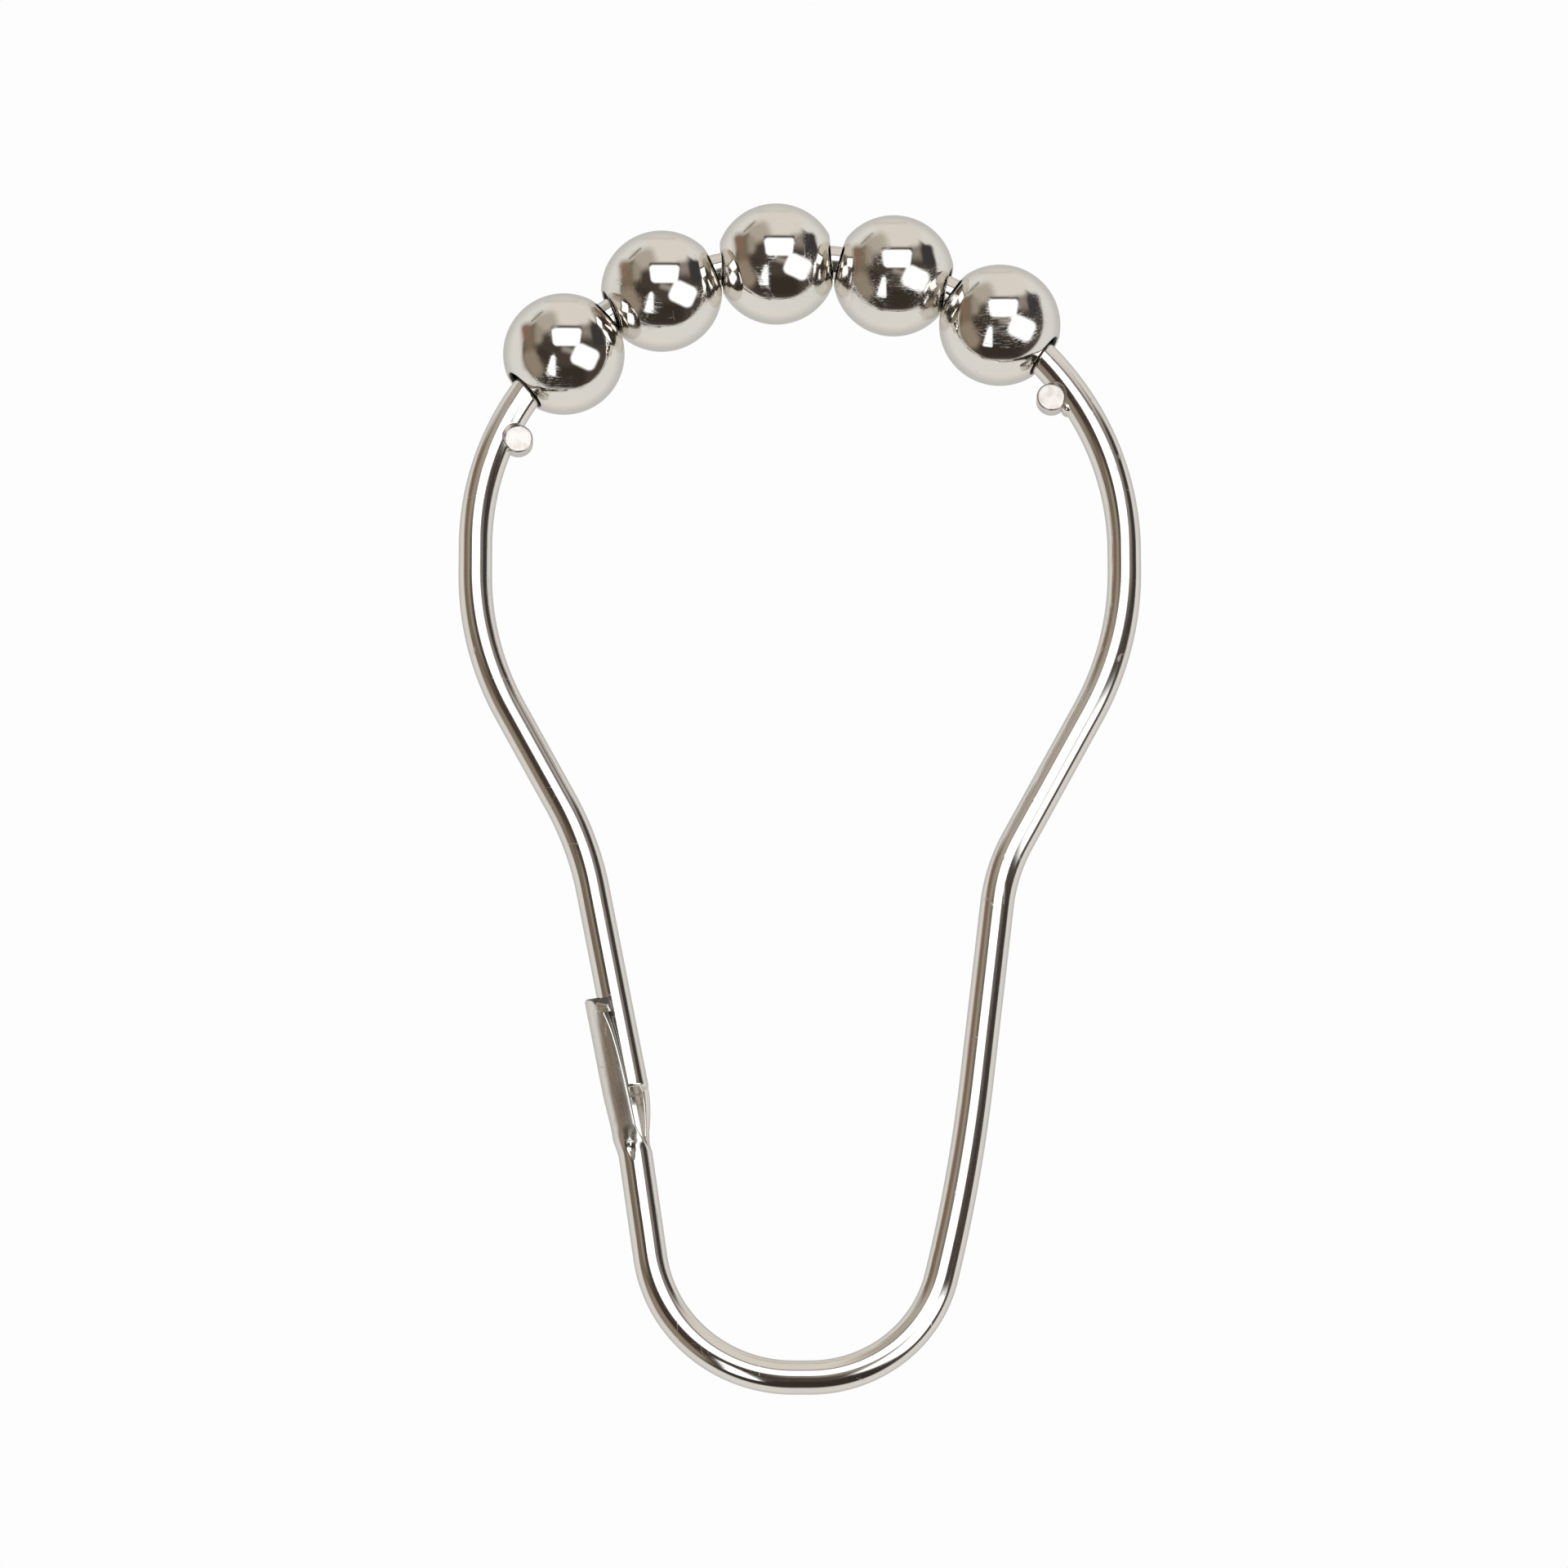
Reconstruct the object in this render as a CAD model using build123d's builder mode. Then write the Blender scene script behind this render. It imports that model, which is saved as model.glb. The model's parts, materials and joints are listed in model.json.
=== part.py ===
from build123d import *

import os
from math import asin, atan2, copysign, cos, degrees, hypot, pi, radians, sin, sqrt, tan, tau

# Shower curtain hook: a ring bent from one length of plated spring wire, five hollow balls that
# roll on its crown, a coined stop on each shoulder, and a clasp on the left leg where the plain
# end of the wire springs into a keeper, a half-pipe pressed from the wire's other end.
# The ring lies in the XZ plane and is seen from -Y, with +Z up. The origin is the rod seat: the
# top of the circle that touches the undersides of the balls. All sizes are in millimetres, and
# widths and radii of the ring are those of the wire's axis.

# Wire
wire_diameter = 2.2
end_rounding = 0.2          # deburred edge of the plain end

# Balls
ball_count = 5
ball_diameter = 8.0
ball_wall = 0.5
hole_clearance = 0.6        # hole diameter over wire diameter
hole_rim_outside = 0.25     # rounding of the hole's edge on the outside
hole_rim_inside = 0.12      # and on the inside; neither takes up the whole wall
ball_gap = 0.08             # between the rims of two neighbours, at their nearest
ball_sag = 0.15             # ball centres sit inside the wire's axis, which curves through them

# Crown and shoulders
crown_radius = 22.26
row_lean = -4.02            # middle of the row of balls, in degrees right of the top
shoulder_width = 42.48

# Waist and neck, where the ring narrows to the legs
waist_straight_left = 2.0
waist_straight_right = 1.36
waist_radius_left = 20.1
waist_radius_right = 20.9
waist_slope = 28.0          # degrees off vertical
neck_left = 14.04           # from the middle of the ring to the neck's corner
neck_right = 13.05
neck_radius_left = 21.5
neck_radius_right = 12.5

# Legs
left_leg_angle = 10.85      # degrees off vertical
left_leg_length = 16.6      # from the neck's corner to the plain end
right_leg_angle = 6.6
right_leg_length = 20.9     # from the neck's corner to the gentle bend above the loop
right_bend_radius = 114.0

# Bottom loop, which carries the curtain
loop_depth = 14.75          # from the foot of the clasp to the wire's lowest axis point
loop_corner_left = 8.5      # from the middle of the ring to the corner outside each bend
loop_corner_right = 7.49
loop_radius_left = 9.27
loop_radius_right = 8.94

# Clasp
clasp_lap = 6.07            # length of the plain end that lies in the keeper
clasp_floor = 2.95          # clear floor of the keeper beyond the plain end, up to its foot
clasp_run_out = 1.98        # length over which the keeper closes to a round wire
clasp_gap = 0.07            # between the wire and the keeper's inside
keeper_wall = 0.75
keeper_front_mouth = 54.0   # front lip, in degrees round from the outer side, at the mouth
keeper_front_throat = 65.0  # at the plain end
keeper_front_foot = 70.0    # and at the foot
keeper_rear_mouth = 124.0   # rear lip, in degrees round from the outer side
keeper_rear_throat = 124.0
keeper_rear_foot = 108.0
keeper_crown = 2.15         # radius to which the mouth is rounded off, seen from the outer side
keeper_trim = 0.3           # length of the blank that is cut away in rounding it
keeper_seam = 33.0          # half the angle over which the lips meet on the round wire
keeper_set = 0.6            # the round wire's axis lies this far outside the keeper's axis
keeper_rounding = 0.12      # worn edge of the mouth

# Stops, coined from the wire on its inner side
stop_radius = 1.05
stop_thickness = 1.1
stop_rounding = 0.2
stop_inset_left = 1.02      # from the wire's axis to the middle of the coined disc
stop_inset_right = 1.12
stop_play_left = 1.65        # between the last ball and its stop
stop_play_right = 1.2

# Values worked out from the sizes above
wire_radius = wire_diameter / 2
ball_radius = ball_diameter / 2
hole_radius = wire_radius + hole_clearance / 2
rim_outside = min(hole_rim_outside, ball_wall / 2)
rim_inside = min(hole_rim_inside, ball_wall / 4)
row_radius = crown_radius - ball_sag
crown_z = -(row_radius - ball_radius)
half_width = shoulder_width / 2
keeper_inner = wire_radius + clasp_gap
keeper_outer = keeper_inner + keeper_wall


def ball_half_pitch():
    """Half the angle between two neighbours whose rounded rims leave the named gap."""
    rim = hole_radius + rim_outside
    reach = sqrt((ball_radius - rim_outside) ** 2 - rim**2)
    arm = hypot(row_radius - rim, reach)
    return degrees(atan2(reach, row_radius - rim) + asin((rim_outside + ball_gap / 2) / arm))


pitch = 2 * ball_half_pitch()
row_left = pitch * (ball_count - 1) / 2 - row_lean      # last ball on the left, from the top
row_right = pitch * (ball_count - 1) / 2 + row_lean


def shoulder(row_end, side):
    """Radius and centre of the arc from the last ball to the widest point of one side."""
    lean = sin(radians(row_end))
    radius = (half_width - crown_radius * lean) / (1 - lean)
    reach = crown_radius - radius
    return radius, (side * reach * lean, crown_z + reach * cos(radians(row_end)))


def off_vertical(start, length, angle):
    """The point below a start point, along a line that leans by an angle, to the right if positive."""
    return (start[0] + length * sin(radians(angle)), start[1] - length * cos(radians(angle)))


def fitted_radii(points, wanted):
    """The wanted bend radii, eased where two neighbouring bends would use up the run between them."""
    runs = [hypot(b[0] - a[0], b[1] - a[1]) for a, b in zip(points, points[1:])]
    headings = [atan2(b[1] - a[1], b[0] - a[0]) for a, b in zip(points, points[1:])]
    turns = [(after - before + pi) % tau - pi for before, after in zip(headings, headings[1:])]
    shares = [tan(abs(turn) / 2) for turn in turns]
    radii = list(wanted)
    for index, run in enumerate(runs):
        ends = [end for end in (index - 1, index) if 0 <= end < len(radii)]
        needed = sum(radii[end] * shares[end] for end in ends)
        for end in ends:
            radii[end] *= min(1.0, 0.98 * run / needed)
    return radii


left_radius, left_centre = shoulder(row_left, -1)
right_radius, right_centre = shoulder(row_right, 1)

left_widest = (-half_width, left_centre[1])
waist_left_corner = (
    -half_width,
    left_widest[1] - waist_straight_left - waist_radius_left * tan(radians(waist_slope / 2)),
)
neck_left_corner = off_vertical(
    waist_left_corner, (half_width - neck_left) / sin(radians(waist_slope)), waist_slope
)
plain_end = off_vertical(neck_left_corner, left_leg_length, left_leg_angle)

right_widest = (half_width, right_centre[1])
waist_right_corner = (
    half_width,
    right_widest[1] - waist_straight_right - waist_radius_right * tan(radians(waist_slope / 2)),
)
neck_right_corner = off_vertical(
    waist_right_corner, (half_width - neck_right) / sin(radians(waist_slope)), -waist_slope
)
right_bend_corner = off_vertical(neck_right_corner, right_leg_length, -right_leg_angle)

keeper_mouth = off_vertical(plain_end, -clasp_lap, left_leg_angle)
keeper_top = off_vertical(keeper_mouth, -keeper_trim, left_leg_angle)
keeper_foot = off_vertical(plain_end, clasp_floor, left_leg_angle)
foot_below = off_vertical(keeper_foot, clasp_run_out, left_leg_angle)
clasp_base = (foot_below[0] - keeper_set, foot_below[1])
loop_z = clasp_base[1] - loop_depth
loop_lean = degrees(atan2(-loop_corner_left - clasp_base[0], loop_depth))

# The wire's axis runs from the plain end up the left leg, over the crown and round to the clasp.
left_points = [plain_end, neck_left_corner, waist_left_corner, left_widest]
right_points = [
    right_widest,
    waist_right_corner,
    neck_right_corner,
    right_bend_corner,
    (loop_corner_right, loop_z),
    (-loop_corner_left, loop_z),
    clasp_base,
]
left_radii = fitted_radii(left_points, [neck_radius_left, waist_radius_left])
right_radii = fitted_radii(
    right_points,
    [waist_radius_right, neck_radius_right, right_bend_radius, loop_radius_right, loop_radius_left],
)


def section_plane(point, heading):
    """A plane across the wire that looks down it, with its x axis to the ring's outer left side."""
    lean = radians(heading)
    return Plane(
        origin=(point[0], 0, point[1]),
        x_dir=(-cos(lean), 0, -sin(lean)),
        z_dir=(sin(lean), 0, -cos(lean)),
    )


def on_circle(radius, angle):
    """A point at an angle round from the outer side: positive to the back, negative to the front."""
    return (radius * cos(radians(angle)), radius * sin(radians(angle)))


def keeper_arcs(front, rear):
    """The keeper's section between its two lips: two arcs a wall apart, closed by rounded lips."""
    middle = (rear - front) / 2
    centre_line = (keeper_inner + keeper_outer) / 2
    bulge = degrees(keeper_wall / 3 / centre_line)
    front_outside = on_circle(keeper_outer, -front)
    rear_outside = on_circle(keeper_outer, rear)
    front_inside = on_circle(keeper_inner, -front)
    rear_inside = on_circle(keeper_inner, rear)
    return [
        (front_outside, on_circle(keeper_outer, middle), rear_outside),
        (rear_outside, on_circle(centre_line, rear + bulge), rear_inside),
        (rear_inside, on_circle(keeper_inner, middle), front_inside),
        (front_inside, on_circle(centre_line, -front - bulge), front_outside),
    ]


def round_arcs():
    """The round wire's section, in four arcs that answer to those of the keeper."""
    opening = (keeper_rear_foot - keeper_front_foot) / 2 + 180
    lip = keeper_seam / 2
    marks = [
        opening + keeper_seam - 360,
        opening - keeper_seam,
        opening - lip,
        opening + lip,
        opening + keeper_seam,
    ]
    return [
        tuple(on_circle(wire_radius, angle) for angle in (start, (start + end) / 2, end))
        for start, end in zip(marks, marks[1:])
    ]


def stop_plane(centre, radius, row_end, side, play, inset):
    """The plane of one stop: in the plane of the ring, with its origin in the middle of the disc."""
    travel = ball_radius + play + stop_radius
    angle = radians(row_end) + travel / radius
    reach = radius - inset
    return Plane(
        origin=(centre[0] + side * reach * sin(angle), 0, centre[1] + reach * cos(angle)),
        x_dir=(1, 0, 0),
        z_dir=(0, -1, 0),
    )


def rim_arc(sphere, offset):
    """The rounded rim of a ball's hole: a point on the sphere, its middle and a point in the hole.

    The rounding is the offset of its centre from the sphere: negative for the outer sphere.
    """
    rounding = abs(offset)
    height = hole_radius + rounding
    along = sqrt((sphere + offset) ** 2 - height**2)
    outward = copysign(1, -offset) / (sphere + offset)
    towards = (along * outward, height * outward - 1)
    reach = rounding / hypot(*towards)
    return [
        (along * sphere / (sphere + offset), height * sphere / (sphere + offset)),
        (along + towards[0] * reach, height + towards[1] * reach),
        (along, hole_radius),
    ]


stop_places = [
    stop_plane(left_centre, left_radius, row_left, -1, stop_play_left, stop_inset_left),
    stop_plane(right_centre, right_radius, row_right, 1, stop_play_right, stop_inset_right),
]

os.makedirs("parts", exist_ok=True)

# The metal that coining squeezes out of the wire, as two rounded discs
with BuildPart() as stops:
    for place in stop_places:
        with BuildSketch(place):
            Circle(stop_radius)
        extrude(amount=stop_thickness / 2, both=True)
    fillet(stops.edges().filter_by(GeomType.CIRCLE), stop_rounding)

# The keeper: the wire opens into a half-pipe that runs up past the plain end, to a rounded mouth
end_plane = section_plane(plain_end, left_leg_angle)
mouth_plane = section_plane(keeper_mouth, left_leg_angle)
base = (section_plane(clasp_base, loop_lean), round_arcs())
foot = (
    section_plane(keeper_foot, left_leg_angle),
    keeper_arcs(keeper_front_foot, keeper_rear_foot),
)
throat = (end_plane, keeper_arcs(keeper_front_throat, keeper_rear_throat))
top = (
    section_plane(keeper_top, left_leg_angle),
    keeper_arcs(keeper_front_mouth, keeper_rear_mouth),
)
with BuildPart() as keeper:
    for sections, straight in (((base, foot), False), ((foot, throat), True), ((throat, top), True)):
        for plane, arcs in sections:
            with BuildSketch(plane):
                with BuildLine():
                    for start, middle, end in arcs:
                        ThreePointArc(start, middle, end)
                make_face()
        loft(ruled=straight)
    with BuildSketch(Plane(mouth_plane.origin, mouth_plane.y_dir, mouth_plane.x_dir)):
        with Locations((0, keeper_crown / 2 - keeper_trim)):
            Rectangle(3 * keeper_outer, keeper_crown + 2 * keeper_trim)
        with Locations((0, keeper_crown)):
            Circle(keeper_crown, mode=Mode.SUBTRACT)
    extrude(amount=2 * keeper_outer, both=True, mode=Mode.SUBTRACT)
    mouth_face = keeper.faces().filter_by(GeomType.CYLINDER).sort_by_distance(mouth_plane.origin)[0]
    fillet(mouth_face.edges(), keeper_rounding)

# The ring wire
with BuildPart() as ring_wire:
    with BuildLine(Plane.XZ) as wire_axis:
        FilletPolyline(*left_points, radius=left_radii)
        CenterArc(left_centre, left_radius, 180, row_left - 90)
        CenterArc((0, crown_z), crown_radius, 90 + row_left, -row_left - row_right)
        CenterArc(right_centre, right_radius, 90 - row_right, row_right - 90)
        FilletPolyline(*right_points, radius=right_radii)
    with BuildSketch(end_plane):
        Circle(wire_radius)
    sweep(path=wire_axis.wires()[0])
    end_face = ring_wire.faces().filter_by(GeomType.PLANE).sort_by_distance(end_plane.origin)[0]
    fillet(end_face.edges(), end_rounding)

    # The stops: the discs join the wire, whose two faces are punched flat over each of them
    add(stops.part)
    for place in stop_places:
        for face in (1, -1):
            with BuildSketch(place.offset(face * stop_thickness / 2)):
                Circle(stop_radius)
            extrude(amount=face * wire_radius, mode=Mode.SUBTRACT)
    add(keeper.part)

ring_wire.part.label = "ring_wire"
export_step(ring_wire.part, "parts/ring_wire.step")

# The balls: one section serves them all, drawn with the wire along its x axis
with BuildSketch() as ball_section:
    outer_rim = rim_arc(ball_radius, -rim_outside)
    inner_rim = rim_arc(ball_radius - ball_wall, rim_inside)
    with BuildLine():
        for side in (1, -1):
            ThreePointArc(*((side * x, y) for x, y in outer_rim))
            ThreePointArc(*((side * x, y) for x, y in inner_rim))
            Line((side * outer_rim[2][0], hole_radius), (side * inner_rim[2][0], hole_radius))
        for radius, rim in ((ball_radius, outer_rim), (ball_radius - ball_wall, inner_rim)):
            ThreePointArc((-rim[0][0], rim[0][1]), (0, radius), rim[0])
    make_face()

for number in range(1, ball_count + 1):
    turn = radians(pitch * (number - 1) - row_left)
    seat = Plane(
        origin=(row_radius * sin(turn), 0, crown_z + row_radius * cos(turn)),
        x_dir=(cos(turn), 0, -sin(turn)),
        z_dir=(0, -1, 0),
    )
    with BuildPart() as ball:
        with BuildSketch(seat):
            add(ball_section.sketch)
        revolve(axis=Axis(seat.origin, seat.x_dir))
    ball.part.label = f"ball_{number}"
    export_step(ball.part, f"parts/ball_{number}.step")
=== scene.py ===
import json
import logging
import math
from dataclasses import dataclass, field
from enum import Enum

import bmesh
import bpy
import numpy as np
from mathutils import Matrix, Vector

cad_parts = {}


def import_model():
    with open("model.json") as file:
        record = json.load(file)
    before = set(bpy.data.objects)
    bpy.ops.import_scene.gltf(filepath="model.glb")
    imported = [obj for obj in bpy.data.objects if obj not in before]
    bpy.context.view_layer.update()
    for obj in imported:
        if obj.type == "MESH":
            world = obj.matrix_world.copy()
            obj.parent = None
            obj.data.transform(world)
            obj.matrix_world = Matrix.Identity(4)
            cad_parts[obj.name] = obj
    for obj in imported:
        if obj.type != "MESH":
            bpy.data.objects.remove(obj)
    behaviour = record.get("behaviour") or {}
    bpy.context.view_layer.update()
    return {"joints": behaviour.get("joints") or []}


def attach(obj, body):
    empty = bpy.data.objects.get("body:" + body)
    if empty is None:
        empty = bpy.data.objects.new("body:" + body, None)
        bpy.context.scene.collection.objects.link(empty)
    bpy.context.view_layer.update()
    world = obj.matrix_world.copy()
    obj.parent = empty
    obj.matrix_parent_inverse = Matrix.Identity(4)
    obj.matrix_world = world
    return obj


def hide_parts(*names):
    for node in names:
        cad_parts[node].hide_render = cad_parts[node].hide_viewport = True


LOG = logging.getLogger("shower_curtain_hook")
MM = 0.001
LIP = 8                      # points on each lip of the keeper's section
WALL = 40                    # and on each of its two walls
AROUND = 2 * (WALL + LIP)    # so many go round the wire as well
RIM_RINGS = 4                # rings of points over the rounded rim of the mouth
END_RINGS = 5                # and over the rounded plain end
ARC_STEP = 0.05 * MM         # spacing of the points that draw a bend
DISC_TURNS = 80              # points round a coined disc
DISC_STEPS = (5, 8)          # steps from its middle to its edge, and points over the edge
DISC_DOME = 0.006 * MM       # how far its faces swell
WINDOW = (255, 254, 250)     # a bright window's colour on a screen
GLARE = 1.5                  # and how much brighter it shines
SCRATCH_BEND = 4 * MM        # how far a scratch strays from a straight line, at the most
PHOTO_WIDTH = 1920           # pixels across the photo
PIXEL = 0.05315 * MM         # and the size of one at the ring's distance

Colour = tuple[float, float, float]
Socket = bpy.types.NodeSocket


class Slot(Enum):
    """The record's material slots."""

    WIRE = "wire"
    BALLS = "balls"


class Side(Enum):
    """The two shoulders of the ring, as signs along X."""

    LEFT = -1
    RIGHT = 1


def linear(red: float, green: float, blue: float) -> Colour:
    """Turn a display colour into scene-linear light.

    Args:
        red: Red from 0 to 255, as a screen shows it.
        green: Green from 0 to 255.
        blue: Blue from 0 to 255.

    Returns:
        The colour in linear light, from 0 to 1.
    """
    channels = []
    for value in (red, green, blue):
        part = value / 255
        channels.append(part / 12.92 if part <= 0.04045 else ((part + 0.055) / 1.055) ** 2.4)
    return tuple(channels)


def smooth(value: np.ndarray | float) -> np.ndarray | float:
    """Ease a share from 0 to 1, flat at both ends."""
    share = np.clip(value, 0.0, 1.0)
    return share * share * (3 - 2 * share)


def leaning(start: np.ndarray, length: float, angle: float) -> np.ndarray:
    """Find the point below a start point along a line that leans off the vertical.

    Args:
        start: The x and z of the start point.
        length: Length of the line.
        angle: Lean in degrees, to the right if positive.

    Returns:
        The x and z of the line's lower end.
    """
    lean = math.radians(angle)
    return start + length * np.array([math.sin(lean), -math.cos(lean)])


# The wire's line


@dataclass
class WireLine:
    """The line of the wire's middle, from its plain end over the crown and round to the clasp."""

    crown_radius: float = 22.26 * MM
    row_radius: float = 22.11 * MM
    ball_radius: float = 4.0 * MM
    half_width: float = 21.24 * MM
    row_left: float = 44.611
    row_right: float = 36.571
    waist_straight: tuple[float, float] = (2.0 * MM, 1.36 * MM)
    waist_radius: tuple[float, float] = (20.1 * MM, 20.9 * MM)
    waist_slope: float = 28.0
    neck: tuple[float, float] = (14.04 * MM, 13.05 * MM)
    neck_radius: tuple[float, float] = (21.5 * MM, 12.5 * MM)
    leg_angle: tuple[float, float] = (10.85, 6.6)
    leg_length: tuple[float, float] = (16.6 * MM, 20.9 * MM)
    right_bend_radius: float = 110.7 * MM
    loop_depth: float = 14.75 * MM
    loop_corner: tuple[float, float] = (8.5 * MM, 7.49 * MM)
    loop_radius: tuple[float, float] = (9.27 * MM, 8.68 * MM)
    clasp_floor: float = 2.95 * MM
    clasp_run_out: float = 1.98 * MM
    clasp_lap: float = 6.07 * MM
    keeper_set: float = 0.6 * MM
    end_drop: float = 0.45 * MM
    points: np.ndarray = field(init=False)
    along: np.ndarray = field(init=False)

    def __post_init__(self) -> None:
        """Work out the corners, draw the bends and measure along the line."""
        self.crown = np.array([0.0, self.ball_radius - self.row_radius])
        self.shoulders = {side: self._shoulder(side) for side in Side}
        left, right = (self._widest(side) for side in Side)
        waist_left, neck_left = self._waist_and_neck(0, left, -1)
        waist_right, neck_right = self._waist_and_neck(1, right, 1)
        self.plain_end = leaning(neck_left, self.leg_length[0], self.leg_angle[0])
        right_bend = leaning(neck_right, self.leg_length[1], -self.leg_angle[1])
        self.keeper_foot = leaning(self.plain_end, self.clasp_floor, self.leg_angle[0])
        below = leaning(self.keeper_foot, self.clasp_run_out, self.leg_angle[0])
        self.clasp_base = below - np.array([self.keeper_set, 0.0])
        low = self.clasp_base[1] - self.loop_depth
        tip = leaning(self.plain_end, self.end_drop, self.leg_angle[0])
        left_run = [tip, neck_left, waist_left, left]
        right_run = [
            right,
            waist_right,
            neck_right,
            right_bend,
            np.array([self.loop_corner[1], low]),
            np.array([-self.loop_corner[0], low]),
            self.clasp_base,
        ]
        radii = [
            self.waist_radius[1],
            self.neck_radius[1],
            self.right_bend_radius,
            self.loop_radius[1],
            self.loop_radius[0],
        ]
        line = self._bent(left_run, [self.neck_radius[0], self.waist_radius[0]])
        line += self._arc(*self.shoulders[Side.LEFT], -90.0, -self.row_left)
        line += self._arc(self.crown_radius, self.crown, -self.row_left, self.row_right)
        line += self._arc(*self.shoulders[Side.RIGHT], self.row_right, 90.0)
        line += self._bent(right_run, radii)
        dense = np.array(line)
        steps = np.hypot(*np.diff(dense, axis=0).T)
        keep = np.concatenate([[True], steps > 1e-8])    # no point stands twice
        self.points = dense[keep]
        self.along = np.concatenate([[0.0], np.cumsum(np.hypot(*np.diff(self.points, axis=0).T))])

    @property
    def length(self) -> float:
        """The wire's length from its plain end to the foot of the clasp."""
        return float(self.along[-1])

    def _shoulder(self, side: Side) -> tuple[float, np.ndarray]:
        """Find the arc from the last ball to the widest point.

        Args:
            side: Which shoulder.

        Returns:
            The arc's radius and its centre.
        """
        row = math.radians(self.row_left if side is Side.LEFT else self.row_right)
        radius = (self.half_width - self.crown_radius * math.sin(row)) / (1 - math.sin(row))
        reach = self.crown_radius - radius
        offset = np.array([side.value * reach * math.sin(row), reach * math.cos(row)])
        return radius, self.crown + offset

    def _widest(self, side: Side) -> np.ndarray:
        """The widest point of one side."""
        return np.array([side.value * self.half_width, self.shoulders[side][1][1]])

    def _waist_and_neck(
        self, index: int, widest: np.ndarray, sign: int
    ) -> tuple[np.ndarray, np.ndarray]:
        """Find the corners of one side's waist and neck.

        Args:
            index: 0 for the left side and 1 for the right.
            widest: The side's widest point.
            sign: The side's sign along X.

        Returns:
            The corner of the waist and that of the neck.
        """
        drop = self.waist_radius[index] * math.tan(math.radians(self.waist_slope / 2))
        waist = widest - np.array([0.0, self.waist_straight[index] + drop])
        run = (self.half_width - self.neck[index]) / math.sin(math.radians(self.waist_slope))
        return waist, leaning(waist, run, -sign * self.waist_slope)

    @staticmethod
    def _arc(radius: float, centre: np.ndarray, start: float, end: float) -> list[np.ndarray]:
        """Draw an arc.

        Args:
            radius: Its radius.
            centre: The x and z of its centre.
            start: Where it starts, in degrees clockwise from the top.
            end: Where it ends.

        Returns:
            Points along the arc.
        """
        count = max(8, int(abs(end - start) * math.radians(1) * radius / ARC_STEP))
        turns = np.radians(np.linspace(start, end, count))
        return [centre + radius * np.array([math.sin(t), math.cos(t)]) for t in turns]

    @staticmethod
    def _bent(corners: list[np.ndarray], radii: list[float]) -> list[np.ndarray]:
        """Round the corners of a run of straight wire.

        Args:
            corners: The run's ends and the corners between them.
            radii: The bend radius at each corner.

        Returns:
            Points along the bent run.
        """
        line = [corners[0]]
        for before, corner, after, radius in zip(corners, corners[1:], corners[2:], radii):
            back = (before - corner) / np.hypot(*(before - corner))
            onward = (after - corner) / np.hypot(*(after - corner))
            half = math.acos(float(np.clip(back @ onward, -1, 1))) / 2
            middle = (back + onward) / np.hypot(*(back + onward))
            centre = corner + middle * radius / math.sin(half)
            start = corner + back * radius / math.tan(half) - centre
            end = corner + onward * radius / math.tan(half) - centre
            turn = math.atan2(start[0] * end[1] - start[1] * end[0], float(start @ end))
            count = max(6, int(abs(turn) * radius / ARC_STEP))
            for share in np.linspace(0, 1, count):
                c, s = math.cos(turn * share), math.sin(turn * share)
                turned = np.array([start[0] * c - start[1] * s, start[0] * s + start[1] * c])
                line.append(centre + turned)
        line.append(corners[-1])
        return line

    def at(self, distance: float) -> np.ndarray:
        """The x and z of the point at a distance along the wire."""
        return np.array([np.interp(distance, self.along, self.points[:, k]) for k in (0, 1)])

    def heading(self, distance: float) -> np.ndarray:
        """Find the wire's direction at a distance along it.

        Args:
            distance: Distance from the plain end.

        Returns:
            A unit vector of x and z, from the plain end onward.
        """
        reach = 0.06 * MM
        low, high = max(0.0, distance - reach), min(self.length, distance + reach)
        way = self.at(high) - self.at(low)
        return way / np.hypot(*way)

    def nearest(self, place: np.ndarray) -> float:
        """The distance along the wire of the point nearest to a place."""
        gaps = np.hypot(*(self.points - place).T)
        return float(self.along[int(np.argmin(gaps))])


# Sections of the wire, the keeper and the stops


@dataclass(frozen=True)
class Section:
    """One ring of points round the wire or the keeper, in the plane across it."""

    shape: np.ndarray        # outward and backward offset of each point
    centre: np.ndarray       # x and z of the section's middle
    onward: np.ndarray       # direction of the wire there

    def placed(self, lift: np.ndarray | float = 0.0) -> np.ndarray:
        """Put the ring's points in space.

        Args:
            lift: How far each point is moved along the wire.

        Returns:
            An array of x, y and z for each point.
        """
        outward = np.array([-self.onward[1], self.onward[0]])
        flat = self.centre + self.shape[:, :1] * outward
        flat = flat + np.outer(np.broadcast_to(lift, len(self.shape)), self.onward)
        return np.column_stack([flat[:, 0], self.shape[:, 1], flat[:, 1]])


def on_circle(radius: float, degrees: np.ndarray) -> np.ndarray:
    """Points round a section: 0 is the ring's outer side, and positive angles turn to the back."""
    turn = np.radians(degrees)
    return np.column_stack([radius * np.cos(turn), radius * np.sin(turn)])


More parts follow.
